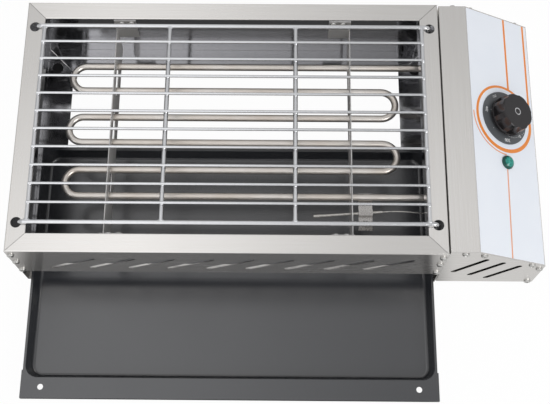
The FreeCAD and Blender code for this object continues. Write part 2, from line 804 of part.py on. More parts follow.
# Lift-off grate: two end wires whose bent ends drop into holes of the rim, four bearers
# between them, and ten thin rods welded on top
END_WIRES = []
for name, depth in (("front", "grate_front"), ("back", "grate_back")):
    pieces = [cylinder("grate_%s_run" % name, "thick_wire", "leg_right - leg_left - 2 * wire_bend",
                       ("leg_left + wire_bend", depth, "wire_high"), "X")]
    for side, inward, spin in (("left", "+", 90), ("right", "-", 0)):
        elbow = doc.addObject("Part::Torus", "grate_%s_%s_elbow" % (name, side))
        elbow.setExpression("Radius1", bind("wire_bend"))
        elbow.setExpression("Radius2", bind("thick_wire / 2"))
        elbow.Angle3 = 90
        elbow.Placement.Rotation = FreeCAD.Rotation(FreeCAD.Vector(1, 0, 0), 90) * FreeCAD.Rotation(
            FreeCAD.Vector(0, 0, 1), spin)
        set_place(elbow, ("leg_%s %s wire_bend" % (side, inward), depth, "wire_high - wire_bend"))
        leg = cylinder("grate_%s_%s_leg" % (name, side), "thick_wire", "leg_drop - wire_bend",
                       ("leg_" + side, depth, "wire_high - wire_bend"), "-Z")
        pieces += [elbow, leg]
    END_WIRES.append(fuse("grate_%s_wire" % name, pieces))
finish(group("grate_end_wires", END_WIRES), "grate_end_wires")

bearers = []
for number in range(int(value("bearer_count"))):
    across = "bearer_side + grate_shift + %d * (casing_long - 2 * bearer_side) / (bearer_count - 1)" % number
    bearers.append(cylinder("grate_bearer_%d" % number, "thick_wire", "grate_back - grate_front - thick_wire",
                            (across, "grate_front + thick_wire / 2", "wire_high"), "Y"))
finish(group("grate_bearers", bearers), "grate_bearers")

rods = []
for number in range(int(value("cross_count"))):
    depth = "grate_front + %d * cross_pitch - cross_ahead" % (number + 1)
    rods.append(cylinder("grate_rod_%d" % number, "thin_wire", "casing_long - 2 * bearer_side + 2 * cross_past",
                         ("bearer_side + grate_shift - cross_past", depth, "cross_high"), "X"))
finish(group("grate_cross_rods", rods), "grate_cross_rods")

# Heating element: one bent tube of three hairpins, both ends running into the control box
def pair_depth(number):
    return "pair_middle + (%d - (pair_count - 1) / 2) * pair_pitch" % number


tubes = []
for number in range(int(value("pair_count"))):
    middle = pair_depth(number)
    bend_left = doc.addObject("Part::Torus", "element_left_turn_%d" % number)
    bend_left.setExpression("Radius1", bind("pin_gap"))
    bend_left.setExpression("Radius2", bind("tube / 2"))
    bend_left.Angle3 = 180
    bend_left.Placement.Rotation = FreeCAD.Rotation(FreeCAD.Vector(0, 0, 1), 90)
    set_place(bend_left, ("left_turn", middle, "heater_high"))
    tubes.append(bend_left)
    for sign in ("-", "+"):
        at = "%s %s pin_gap" % (middle, sign)
        first = number == 0 and sign == "-"
        last = number == int(value("pair_count")) - 1 and sign == "+"
        far = "heater_end" if first or last else "right_turn"
        tubes.append(cylinder("element_rod_%d" % len(tubes), "tube", far + " - left_turn",
                              ("left_turn", at, "heater_high"), "X"))
    if number:
        bend_right = doc.addObject("Part::Torus", "element_right_turn_%d" % number)
        bend_right.setExpression("Radius1", bind("turn_gap"))
        bend_right.setExpression("Radius2", bind("tube / 2"))
        bend_right.Angle3 = 180
        bend_right.Placement.Rotation = FreeCAD.Rotation(FreeCAD.Vector(0, 0, 1), -90)
        set_place(bend_right, ("right_turn", middle + " - pair_pitch / 2", "heater_high"))
        tubes.append(bend_right)
finish(fuse("heating_element", tubes), "heating_element")


# Fittings at the two ends of the element, where it passes into the control box
bushes, bush_nuts, beads, pins = [], [], [], []
for number, depth in enumerate(("rod_front", "rod_back")):
    flange = cylinder("bush_flange_%d" % number, "bush_head", "bush_head_high",
                      ("casing_long - sheet - bush_head_high", depth, "heater_high"), "X")
    sleeve = cylinder("bush_sleeve_%d" % number, "bush", "bush_head_high + 2 * sheet + box_gap + bush_past",
                      ("casing_long - sheet - bush_head_high", depth, "heater_high"), "X")
    bore = cylinder("bush_bore_%d" % number, "tube", "bush_head_high + 2 * sheet + box_gap + bush_past",
                    ("casing_long - sheet - bush_head_high", depth, "heater_high"), "X")
    bushes.append(less("bush_%d" % number, fuse("bush_whole_%d" % number, [flange, sleeve]), bore))
    bush_nuts.append(nut("bush_nut_%d" % number, "bush_nut_wide", "bush_nut_high", "bush",
                         ("box_left + sheet", depth, "heater_high"), "X"))
    tube_end = ("heater_end", depth, "heater_high")
    bead_solid = cylinder("bead_solid_%d" % number, "bead", "bead_long", tube_end, "X")
    bead_bore = cylinder("bead_bore_%d" % number, "pin", "bead_long", tube_end, "X")
    beads.append(less("bead_%d" % number, bead_solid, bead_bore))
    stem = cylinder("pin_stem_%d" % number, "pin", "bead_long + 1.5 * pin_past", tube_end, "X")
    spade = box("pin_spade_%d" % number, "spade_long", "spade_thick", "spade_wide",
                ("heater_end + bead_long + pin_past", depth + " - spade_thick / 2",
                 "heater_high - spade_wide / 2"))
    pins.append(fuse("pin_%d" % number, [stem, spade]))
finish(group("element_bushes", bushes), "element_bushes")
finish(group("element_bush_nuts", bush_nuts), "element_bush_nuts")
finish(group("element_insulators", beads), "element_insulators")
finish(group("element_terminals", pins), "element_terminals")


# Two slotted plates that carry the element, each with a tab screwed to both lips
def support(side):
    plate = new_body(side + "_element_support")
    add(plate, "X", "support_side" if side == "left" else "casing_long - support_side - support_sheet",
        "support_sheet", [[
            ("rim_front", "support_low"),
            ("rim_front", "support_top"),
            ("casing_deep - rim_front", "support_top"),
            ("casing_deep - rim_front", "support_low"),
        ]])
    for at in ("rim_front", "casing_deep - rim_front - support_sheet"):
        add(plate, "Y", at, "support_sheet", [[
            (from_side(side, "support_side"), "tab_low"),
            (from_side(side, "support_side"), "tab_top"),
            (from_side(side, "support_side + tab_wide"), "tab_top"),
            (from_side(side, "support_side + tab_wide"), "tab_low"),
        ]], "Tab")
    middle = from_side(side, "support_side + support_sheet / 2")
    cut(plate, "X", middle + " - support_sheet", "2 * support_sheet", [
        ("slot", pair_depth(number) + " - pin_gap", "heater_high",
         pair_depth(number) + " + pin_gap", "heater_high", "slot_high")
        for number in range(int(value("pair_count")))])
    cut(plate, "Y", "0", "casing_deep", [
        ("circle", from_side(side, "support_side + tab_screw_in + %d * tab_screw_pitch" % step),
         "tab_screw_high", "screw_hole")
        for step in (0, 1)])
    if side == "right":
        cut(plate, "X", "casing_long - support_side - 2 * support_sheet", "3 * support_sheet", [
            ("circle", "probe_depth + (casing_long - support_side - probe_middle) * probe_slope", "probe_high",
             "probe_tip_wide + 2 * probe_play")])
    finish(plate, side + "_element_support")


support("left")
support("right")

tab_screws, tab_nuts = [], []
for place, face, facing, behind, away in (
        ("front", "rim_front + support_sheet", "Y", "rim_front - sheet", "-Y"),
        ("back", "casing_deep - rim_front - support_sheet", "-Y", "casing_deep - rim_front + sheet", "Y")):
    for number, across in enumerate(TAB_SCREWS):
        tab_screws.append(screw("tab_screw_%s_%d" % (place, number), (across, face, "tab_screw_high"), facing))
        tab_nuts.append(nut("tab_nut_%s_%d" % (place, number), "nut_wide", "nut_high", "screw_body",
                            (across, behind, "tab_screw_high"), away))
finish(group("support_screws", tab_screws), "support_screws")
finish(group("support_nuts", tab_nuts), "support_nuts")

# Spring clip: a strip hooked under the front rod, with a raised band that grips the probe
clip = new_body("probe_clip")
add(clip, "X", "clip_left", "clip_wide", [[
    ("hook_face + clip_sheet", "clip_top + clip_hook"),
    ("hook_face + clip_sheet", "clip_top - clip_sheet"),
    ("probe_depth + clip_band / 2 - clip_sheet", "clip_top - clip_sheet"),
    ("probe_depth + clip_band / 2 - clip_sheet", "band_high"),
    ("probe_depth - clip_band / 2 + clip_sheet", "band_high"),
    ("probe_depth - clip_band / 2 + clip_sheet", "clip_top - clip_sheet"),
    ("clip_front + clip_nose", "clip_top - clip_sheet"),
    ("clip_front", "clip_top - clip_sheet - clip_nose"),
    ("clip_front", "clip_top - clip_nose"),
    ("clip_front + clip_nose", "clip_top"),
    ("probe_depth - clip_band / 2", "clip_top"),
    ("probe_depth - clip_band / 2", "band_high + clip_sheet"),
    ("probe_depth + clip_band / 2", "band_high + clip_sheet"),
    ("probe_depth + clip_band / 2", "clip_top"),
    ("hook_face", "clip_top"),
    ("hook_face", "clip_top + clip_hook"),
]])
cut(clip, "Z", "clip_top - 2 * clip_sheet", "3 * clip_sheet", [
    ("circle", "probe_middle + %s * clip_hole" % side, "clip_front + clip_nose + 2 * clip_hole", "clip_hole")
    for side in ("-0.8", "0.8")])
finish(clip, "probe_clip")


def bent_tube(points, wide):
    """A tube of straight runs joined by the largest arcs that its runs leave room for."""
    spots = [FreeCAD.Vector(*[value(formula) for formula in point]) for point in points]
    edges = []
    start = spots[0]
    for before, corner, after in zip(spots, spots[1:], spots[2:]):
        there = (before - corner).normalize()
        onward = (after - corner).normalize()
        reach = 0.45 * min((before - corner).Length, (after - corner).Length)
        half = (math.pi - there.getAngle(onward)) / 2
        into, out = corner + there * reach, corner + onward * reach
        radius = reach / math.tan(half)
        inward = (there + onward).normalize()
        crown = corner + inward * (radius / math.cos(half) - radius)
        edges.append(Part.LineSegment(start, into).toShape())
        edges.append(Part.Arc(into, crown, out).toShape())
        start = out
    edges.append(Part.LineSegment(start, spots[-1]).toShape())
    path = Part.Wire(edges)
    ring = Part.Circle(spots[0], spots[1] - spots[0], value(wide) / 2).toShape()
    tube = path.makePipeShell([Part.Wire([ring])], True, False)
    if abs(tube.Volume - path.Length * math.pi * value(wide) ** 2 / 4) > 0.02 * tube.Volume:
        raise RuntimeError("a tube has the wrong volume")
    return tube


# Temperature probe: a slim bulb held by the clip, and the fine capillary that leads from it
# through the walls to the thermostat
def probe_at(across, up="probe_high"):
    return across, "probe_depth + (%s - probe_middle) * probe_slope" % across, up


bulb = doc.addObject("Part::Feature", "temperature_probe")
bulb.Shape = bent_tube([probe_at("probe_tip"), probe_at("probe_end")], "probe").fuse(
    bent_tube([probe_at("probe_tip"), probe_at("probe_tip + probe_tip_long")],
              "probe_tip_wide")).removeSplitter()
finish(bulb, "temperature_probe")

capillary = doc.addObject("Part::Feature", "capillary_tube")
stat_side = "dial_depth - stat_wide / 2 - stat_nipple"
stat_across = "slope_top + dial_down * slope_cos - stat_port * slope_sin"
stat_up = "casing_high - dial_down * slope_sin - stat_port * slope_cos"
capillary.Shape = bent_tube([
    probe_at("probe_end"),
    probe_at("probe_end + capillary_lead"),
    ("casing_long - capillary_crest", "probe_depth + capillary_rise", "probe_high + capillary_rise"),
    ("casing_long - capillary_wall", "probe_depth", "probe_high"),
    ("box_left + capillary_wall", "probe_depth", "probe_high"),
    ("box_left + 2 * capillary_wall", "probe_depth + capillary_turn", "probe_high - capillary_sink"),
    ("box_left + 2 * capillary_wall", "lamp_depth", "probe_high - capillary_sink"),
    (stat_across, stat_side + " - capillary_wall", stat_up),
    (stat_across, stat_side, stat_up),
], "capillary")
finish(capillary, "capillary_tube")

# Drip tray: a pressed basin with a broad front flange and turned-down edges
tray = new_body("drip_tray")
add(tray, "Z", "tray_top - tray_sheet", "tray_sheet", [[
    ("tray_left", "tray_front"),
    ("tray_right", "tray_front"),
    ("tray_right", "tray_front + tray_step"),
    ("tray_right - tray_rim_inset", "tray_front + tray_step"),
    ("tray_right - tray_rim_inset", "tray_back"),
    ("tray_left + tray_rim_inset", "tray_back"),
    ("tray_left + tray_rim_inset", "tray_front + tray_step"),
    ("tray_left", "tray_front + tray_step"),
]], "Rim")
add(tray, "Z", "tray_top - tray_flange_down", "tray_flange_down - tray_sheet / 2", [[
    ("tray_left", "tray_front"), ("tray_right", "tray_front"),
    ("tray_right", "tray_front + tray_sheet"), ("tray_left", "tray_front + tray_sheet"),
]], "FlangeEdge")
add(tray, "Z", "tray_top - tray_rim_down", "tray_rim_down - tray_sheet / 2", [[
    ("tray_left + tray_rim_inset", "tray_front + tray_step"),
    ("tray_left + tray_rim_inset", "tray_back"),
    ("tray_right - tray_rim_inset", "tray_back"),
    ("tray_right - tray_rim_inset", "tray_front + tray_step"),
    ("tray_right - tray_rim_inset - tray_sheet", "tray_front + tray_step"),
    ("tray_right - tray_rim_inset - tray_sheet", "tray_back - tray_sheet"),
    ("tray_left + tray_rim_inset + tray_sheet", "tray_back - tray_sheet"),
    ("tray_left + tray_rim_inset + tray_sheet", "tray_front + tray_step"),
]], "RimEdge")


def basin_outline(inset, corner):
    """The basin's outline, drawn in by an amount from its top edge."""
    return ("rounded", "tray_left + tray_rim + %s" % inset, "tray_front + tray_flange + %s" % inset,
            "tray_right - tray_rim - %s" % inset, "tray_back - tray_rim - %s" % inset, corner)


def basin(kind, low, high, low_inset, high_inset, corner):
    loft = tray.newObject("PartDesign::" + kind, "basin_" + kind)
    loft.Profile = draw(tray, "Z", low, [basin_outline(low_inset, "%s - tray_draft / 2" % corner)])
    loft.Sections = [draw(tray, "Z", high, [basin_outline(high_inset, corner)])]
    loft.Ruled = True
    doc.recompute()


def round_loop(body, height, radius):
    """The rounded edge all round a flat face at a height."""
    flat = [number for number, edge in enumerate(body.Tip.Shape.Edges, start=1)
            if all(abs(vertex.Z - value(height)) < 1e-4 for vertex in edge.Vertexes)]
    round_edges(body, radius, ["Edge%d" % number for number in flat])


basin("AdditiveLoft", "tray_under", "tray_top - tray_sheet / 2", "tray_draft", "0", "tray_corner")
round_loop(tray, "tray_under", "tray_fillet + tray_sheet")
basin("SubtractiveLoft", "tray_under + tray_sheet", "tray_top + tray_sheet",
      "(tray_draft + tray_sheet)", "tray_sheet", "tray_corner - tray_sheet")
round_loop(tray, "tray_under + tray_sheet", "tray_fillet")
cut(tray, "Z", "tray_top - 2 * tray_sheet", "3 * tray_sheet", [
    ("circle", across, "tray_front + tray_hole_front", "tray_hole")
    for across in ("tray_left + tray_hole_in", "tray_right - tray_hole_in")])
finish(tray, "drip_tray")

# Control box: one folded shell with a slanted panel, closed by a front and a back plate
BOX_OUTLINE = [
    ("box_left", "0"),
    ("box_left", "casing_high"),
    ("slope_top", "casing_high"),
    ("box_right", "box_side_high"),
    ("box_right", "0"),
]
BOX_SCREWS = [
    ("box_left + box_screw_top", "casing_high - box_screw_in"),
    ("slope_top + box_screw_upper * slope_cos - box_screw_in * slope_sin",
     "casing_high - box_screw_upper * slope_sin - box_screw_in * slope_cos"),
    ("slope_top + box_screw_lower * slope_cos - box_screw_in * slope_sin",
     "casing_high - box_screw_lower * slope_sin - box_screw_in * slope_cos"),
    ("box_right - box_screw_in", "box_screw_side"),
    ("box_right - box_screw_foot", "box_screw_foot_high"),
]


def box_inside(inset):
    """The control box's outline drawn in by an amount on all sides but the bottom."""
    return [
        ("box_left + %s" % inset, "-sheet"),
        ("box_left + %s" % inset, "casing_high - %s" % inset),
        ("slope_top - %s * (1 - slope_cos) / slope_sin" % inset, "casing_high - %s" % inset),
        ("box_right - %s" % inset,
         "casing_high - (%s + slope_sin * (slope_run - %s)) / slope_cos" % (inset, inset)),
        ("box_right - %s" % inset, "-sheet"),
    ]


shell = new_body("control_box_shell")
add(shell, "Y", "box_front + sheet", "box_deep - 2 * sheet", [BOX_OUTLINE])
round_edges(shell, "bend", edges_along(shell.Tip.Shape, "Y", BOX_OUTLINE[1:4]))
cut(shell, "Y", "box_front + 2 * sheet", "box_deep - 4 * sheet", [box_inside("sheet")])
round_edges(shell, "bend - sheet", edges_along(shell.Tip.Shape, "Y", box_inside("sheet")[1:4]))
cut(shell, "Y", "0", "casing_deep", [box_inside("end_flange")])
cut(shell, "Y", "0", "casing_deep", [("circle", across, height, "screw_hole") for across, height in BOX_SCREWS])
cut(shell, "X", "box_left - sheet", "3 * sheet", [
    ("circle", "rod_front", "heater_high", "bush + bush_clear"),
    ("circle", "rod_back", "heater_high", "bush + bush_clear"),
    ("circle", "probe_depth", "probe_high", "capillary_hole"),
] + [("circle", depth, height, "screw_hole") for depth, height in STAYS])
PANEL_SCREWS = [("dial_down", "dial_depth + %s * stat_screw_pitch / 2" % side) for side in ("-1", "1")]
PANEL_HOLES = [
    ("circle", "dial_down", "dial_depth", "shaft_hole"),
    ("circle", "lamp_down", "lamp_depth", "lamp_hole"),
] + [("circle", down, depth, "screw_hole") for down, depth in PANEL_SCREWS]
before = shell.Shape.Volume
panel_cut = shell.newObject("PartDesign::Pocket", "panel_holes")
panel_cut.Profile = draw(shell, "Z", "casing_high", PANEL_HOLES)
panel_cut.Profile[0].AttachmentOffset = FreeCAD.Placement(
    FreeCAD.Vector(value("slope_top + sheet * slope_sin"), 0, value("casing_high + sheet * slope_cos")),
    FreeCAD.Rotation(FreeCAD.Vector(0, 1, 0), value("atan2(slope_drop; slope_run)")))
for part_of, formula in (
        ("Base.x", "slope_top + sheet * slope_sin"),
        ("Base.z", "casing_high + sheet * slope_cos"),
        ("Rotation.Angle", "atan2(slope_drop; slope_run)")):
    panel_cut.Profile[0].setExpression("AttachmentOffset." + part_of, bind(formula))
panel_cut.setExpression("Length", bind("3 * sheet"))
doc.recompute()
if not panel_cut.Shape.Volume < before:
    raise RuntimeError("no hole in the panel")
finish(shell, "control_box_shell")


def end_plate(place, face):
    """A flat plate that closes the control box at the front or at the back."""
    plate = new_body("control_box_%s_plate" % place)
    add(plate, "Y", face, "sheet", [BOX_OUTLINE])
    round_edges(plate, "bend", edges_along(plate.Tip.Shape, "Y", BOX_OUTLINE))
    holes = [("circle", across, height, "screw_hole") for across, height in BOX_SCREWS]
    if place == "front":
        for number in range(int(value("box_vent_count"))):
            left = "box_left + box_vent_left + %d * box_vent_pitch" % number
            low = "box_vent_low - %d * box_vent_drop" % number
            holes.append(("slot", left, low, left + " + box_vent_run", low + " + box_vent_rise",
                          "box_vent_wide"))
    else:
        holes.append(("circle", "box_left + gland_in", "gland_high", "gland_body + 2 * gland_clear"))
    cut(plate, "Y", face + " - sheet", "3 * sheet", holes)
    finish(plate, "control_box_%s_plate" % place)


end_plate("front", "box_front")
end_plate("back", "box_back - sheet")
for place, face, facing in (("front", "box_front", "-Y"), ("back", "box_back", "Y")):
    finish(group("box_%s_screws" % place, [
        screw("box_%s_screw_%d" % (place, number), (across, face, height), facing)
        for number, (across, height) in enumerate(BOX_SCREWS)]), "control_box_%s_screws" % place)

# Bottom cover: a shallow pan that slips inside the shell and its two end flanges
def cover_outline(inset):
    """The cover's outline, drawn in by an amount from the shell's walls."""
    return [
        ("box_left + (%s)" % inset, "box_front + sheet + (%s)" % inset),
        ("box_right - (%s)" % inset, "box_front + sheet + (%s)" % inset),
        ("box_right - (%s)" % inset, "box_back - sheet - (%s)" % inset),
        ("box_left + (%s)" % inset, "box_back - sheet - (%s)" % inset),
    ]


cover = new_body("control_box_bottom_cover")
add(cover, "Z", "0", "box_cover_high", [cover_outline("sheet + box_cover_clear")])
cut(cover, "Z", "sheet", "box_cover_high", [cover_outline("2 * sheet + box_cover_clear")])
cut(cover, "Y", "0", "casing_deep", [
    ("circle", "box_right - box_screw_foot", "box_screw_foot_high", "screw_hole")])
finish(cover, "control_box_bottom_cover")

# Screws, spacers and nuts that hold the control box to the casing
stay_screws, stay_nuts, spacers = [], [], []
for number, (depth, height) in enumerate(STAYS):
    stay_screws.append(screw("stay_screw_%d" % number, ("box_left + sheet", depth, height), "X"))
    stay_nuts.append(nut("stay_nut_%d" % number, "nut_wide", "nut_high", "screw_body",
                         ("casing_long - sheet", depth, height), "-X"))
    ring = cylinder("spacer_ring_%d" % number, "spacer", "box_gap", ("casing_long", depth, height), "X")
    hole = cylinder("spacer_hole_%d" % number, "screw_hole", "box_gap", ("casing_long", depth, height), "X")
    spacers.append(less("spacer_%d" % number, ring, hole))
finish(group("control_box_stay_screws", stay_screws), "control_box_stay_screws")
finish(group("control_box_stay_nuts", stay_nuts), "control_box_stay_nuts")
finish(group("control_box_spacers", spacers), "control_box_spacers")

# Printed label on the slanted panel, and the dial plate under the knob
label = new_body("panel_label")
add(label, "Z", "0", "label_thick", [[
    ("label_in", "box_front + label_in"), ("slope_long - label_in", "box_front + label_in"),
    ("slope_long - label_in", "box_back - label_in"), ("label_in", "box_back - label_in"),
]])
cut(label, "Z", "-label_thick", "3 * label_thick", PANEL_HOLES)
finish(label, "panel_label", ("0", "0"))

DIAL = ("dial_down", "dial_depth")
dial = new_body("dial_plate")
add(dial, "Z", "label_thick", "dial_thick", [("circle", "0", "0", "dial_wide")])
cut(dial, "Z", "0", "2 * dial_top", [("circle", "0", "0", "shaft_hole")] + [
    ("circle", "0", "%s * stat_screw_pitch / 2" % side, "screw_hole") for side in ("-1", "1")])
finish(dial, "dial_plate", DIAL)
finish(group("dial_screws", [
    screw("dial_screw_%d" % number, ("0", "%s * stat_screw_pitch / 2" % side, "dial_top"), "Z")
    for number, side in enumerate(("-1", "1"))]), "dial_screws", DIAL)


def turned(body, profile):
    """A solid turned about the body's upright axis from a half outline."""
    solid = body.newObject("PartDesign::Revolution", body.Name + "_Turned")
    solid.Profile = draw(body, "Y", "0", [profile])
    solid.ReferenceAxis = (solid.Profile[0], ["V_Axis"])
    doc.recompute()
    return solid


def ring_edges(body, height, wide):
    """The round edges of a stated size at a height."""
    found = []
    for number, edge in enumerate(body.Tip.Shape.Edges, start=1):
        curve = edge.Curve
        if isinstance(curve, Part.Circle) and abs(curve.Radius - value(wide) / 2) < 1e-3 \
                and abs(curve.Center.z - value(height)) < 1e-3:
            found.append("Edge%d" % number)
    return found


# Knob: a skirt, a tapered body with flutes all round, and a bore with a flat for the shaft
knob = new_body("thermostat_knob")
turned(knob, [
    ("0", "knob_under"), ("knob_skirt / 2", "knob_under"), ("knob_skirt / 2", "knob_waist"),
    ("knob_wide / 2 + knob_taper / 2", "knob_waist"), ("knob_wide / 2 - knob_taper / 2", "knob_top"),
    ("0", "knob_top"),
])
round_edges(knob, "knob_round", ring_edges(knob, "knob_top", "knob_wide - knob_taper"))
round_edges(knob, "knob_round / 4", ring_edges(knob, "knob_waist", "knob_skirt"))
flute = cut(knob, "Z", "knob_waist", "knob_high + sheet", [
    ("circle", "knob_wide / 2 - knob_flute_deep + knob_flute / 2", "0", "knob_flute")])
flutes = knob.newObject("PartDesign::PolarPattern", "knob_flutes")
flutes.Originals = [flute]
flutes.Axis = (origin_part(knob, "Z_Axis"), [""])
flutes.Angle = 360
flutes.setExpression("Occurrences", bind("knob_lobes"))
knob.Tip = flutes
doc.recompute()
cut(knob, "Z", "knob_top - knob_disc_deep", "2 * knob_disc_deep", [("circle", "0", "0", "knob_disc")])
cut(knob, "Z", "knob_under - sheet", "sheet + shaft_up + knob_bore_gap", [
    ("circle", "0", "0", "shaft + 2 * knob_bore_gap")])
add(knob, "Z", "knob_under", "shaft_up + sheet", [[
    ("shaft_flat - shaft / 2 + knob_bore_gap", "-shaft / 2"),
    ("shaft", "-shaft / 2"), ("shaft", "shaft / 2"),
    ("shaft_flat - shaft / 2 + knob_bore_gap", "shaft / 2"),
]], "Flat")
finish(knob, "thermostat_knob", DIAL)

shaft = new_body("thermostat_shaft")
add(shaft, "Z", "-shaft_down", "shaft_down + knob_under + shaft_up", [("circle", "0", "0", "shaft")])
cut(shaft, "Z", "knob_under - knob_bore_gap", "shaft_up + sheet", [[
    ("shaft_flat - shaft / 2", "-shaft"), ("shaft", "-shaft"),
    ("shaft", "shaft"), ("shaft_flat - shaft / 2", "shaft"),
]])
finish(shaft, "thermostat_shaft", DIAL)

# Thermostat: a plate screwed under the panel, a neck, and the switch housing with its tabs
stat = new_body("thermostat_body")
plate_top = "-sheet"
plate_low = "-sheet - stat_plate_thick"
housing_top = plate_low + " - stat_neck_high"
housing_low = housing_top + " - stat_high"
add(stat, "Z", plate_low, "stat_plate_thick", [[
    ("-stat_plate_wide / 2", "-stat_plate_long / 2"), ("stat_plate_wide / 2", "-stat_plate_long / 2"),
    ("stat_plate_wide / 2", "stat_plate_long / 2"), ("-stat_plate_wide / 2", "stat_plate_long / 2"),
]])
add(stat, "Z", housing_top, "stat_neck_high", [("circle", "0", "0", "stat_neck")], "Neck")
add(stat, "Z", housing_low, "stat_high", [
    ("rounded", "-stat_wide / 2", "-stat_wide / 2", "stat_wide / 2", "stat_wide / 2", "stat_round")], "Housing")
add(stat, "Z", plate_top, "sheet + label_thick", [("circle", "0", "0", "shaft_hole - 2 * lamp_play")], "Boss")
add(stat, "Y", "-stat_wide / 2 - stat_nipple", "stat_nipple + sheet", [
    ("circle", "0", "-stat_port", "stat_nipple_wide")], "Nipple")
add(stat, "Z", housing_low + " - stat_tab_long", "stat_tab_long", [
    [("-spade_thick / 2 + %s" % across, "-stat_tab / 2"), ("spade_thick / 2 + %s" % across, "-stat_tab / 2"),
     ("spade_thick / 2 + %s" % across, "stat_tab / 2"), ("-spade_thick / 2 + %s" % across, "stat_tab / 2")]
    for across in ("-stat_wide / 4", "stat_wide / 4")], "Tabs")
cut(stat, "Z", "-shaft_down - shaft_play", "shaft_down + shaft_play + label_thick + sheet", [
    ("circle", "0", "0", "shaft_bore")])
cut(stat, "Z", plate_low + " - sheet", "stat_plate_thick + 2 * sheet", [
    ("circle", "0", "%s * stat_screw_pitch / 2" % side, "screw_body") for side in ("-1", "1")])
finish(stat, "thermostat_body", DIAL)

# Pilot lamp: a green dome on the label, a barrel through the panel, and its nut behind
LAMP = ("lamp_down", "lamp_depth")
lens = new_body("pilot_lamp_lens")
turned(lens, [
    ("0", "label_thick"), ("lamp_wide / 2", "label_thick"), ("lamp_wide / 2", "label_thick + lamp_rim"),
    ("lamp_wide / 2 - lamp_rim", "label_thick + lamp_rim + lamp_dome / 2"),
    ("lamp_wide / 4", "label_thick + lamp_rim + lamp_dome"), ("0", "label_thick + lamp_rim + lamp_dome"),
])
round_edges(lens, "lamp_rim", ring_edges(lens, "label_thick + lamp_rim + lamp_dome", "lamp_wide / 2"))
finish(lens, "pilot_lamp_lens", LAMP)
barrel = new_body("pilot_lamp_barrel")
add(barrel, "Z", "label_thick - lamp_barrel_long", "lamp_barrel_long", [("circle", "0", "0", "lamp_barrel")])
add(barrel, "Z", "label_thick - lamp_barrel_long - stat_tab_long", "stat_tab_long", [
    [("-spade_thick / 2 + %s" % across, "-lamp_tab / 2"), ("spade_thick / 2 + %s" % across, "-lamp_tab / 2"),
     ("spade_thick / 2 + %s" % across, "lamp_tab / 2"), ("-spade_thick / 2 + %s" % across, "lamp_tab / 2")]
    for across in ("-lamp_barrel / 4", "lamp_barrel / 4")], "Tabs")
finish(barrel, "pilot_lamp_barrel", LAMP)
finish(group("pilot_lamp_nut", [nut("lamp_nut", "lamp_nut", "lamp_nut_high", "lamp_barrel",
                                    ("0", "0", "-sheet"), "-Z")]), "pilot_lamp_nut", LAMP)

# Terminal block on the bottom cover, with one screw at each end of each way
block = new_body("terminal_block")
block_left, block_right = "box_left + block_left", "box_left + block_left + block_wide"
add(block, "Z", "sheet", "block_high", [[
    (block_left, "block_front"), (block_right, "block_front"),
    (block_right, "block_front + block_long"), (block_left, "block_front + block_long"),
]])
ways = [
    "block_front + (%d + 0.5) * block_long / block_ways" % number for number in range(int(value("block_ways")))]
ends = ["box_left + block_left + %s * block_wide" % share for share in ("0.25", "0.75")]
cut(block, "X", "box_left", "box_long / 2", [
    ("circle", way, "sheet + block_high / 2", "block_way") for way in ways])
cut(block, "Z", "sheet + block_high / 2", "block_high", [
    ("circle", end, way, "screw_hole") for way in ways for end in ends])
finish(block, "terminal_block")
finish(group("terminal_screws", [
    cylinder("terminal_screw_%d_%d" % (i, j), "screw_body", "block_high / 2 - block_sink",
             (end, way, "sheet + block_high / 2"), "Z")
    for i, way in enumerate(ways) for j, end in enumerate(ends)]), "terminal_screws")

# Cable entry in the back plate: a gland held by a nut; its bore takes the supply cable
gland_start = ("box_left + gland_in", "box_back - gland_long", "gland_high")
thread = cylinder("gland_thread", "gland_body", "gland_long", gland_start, "Y")
flange = cylinder("gland_flange_ring", "gland_flange", "gland_flange_high",
                  ("box_left + gland_in", "box_back", "gland_high"), "Y")
nose = doc.addObject("Part::Cone", "gland_cone")
nose.setExpression("Radius1", bind("gland_flange / 2 - sheet"))
nose.setExpression("Radius2", bind("gland_nose / 2"))
nose.setExpression("Height", bind("gland_nose_high"))
nose.Placement.Rotation = FreeCAD.Rotation(FreeCAD.Vector(0, 0, 1), WAYS["Y"])
set_place(nose, ("box_left + gland_in", "box_back + gland_flange_high", "gland_high"))
hole = cylinder("gland_hole", "gland_bore", "gland_long + gland_reach", gland_start, "Y")
finish(less("cable_gland", fuse("gland_whole", [thread, flange, nose]), hole), "cable_gland")
finish(group("cable_gland_nut", [nut("gland_nut", "gland_nut_wide", "gland_nut_high", "gland_body",
                                     ("box_left + gland_in", "box_back - sheet", "gland_high"), "-Y")]),
       "cable_gland_nut")

# Every object has to be up to date and every sub-part a sound solid before the files are written
doc.recompute()
for item in doc.Objects:
    if "Invalid" in item.State or "Error" in item.State:
        raise RuntimeError("not built: " + item.Name)
os.makedirs("parts", exist_ok=True)
for part in parts:
    if part.Shape.isNull() or not part.Shape.isValid() or not part.Shape.Solids:
        raise RuntimeError("not sound: " + part.Label)
    part.Shape.exportStep(os.path.join("parts", part.Label + ".step"))
    print(part.Label, len(part.Shape.Solids), round(part.Shape.Volume))
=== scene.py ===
import math
import bmesh
import bpy
from mathutils import Matrix, Vector


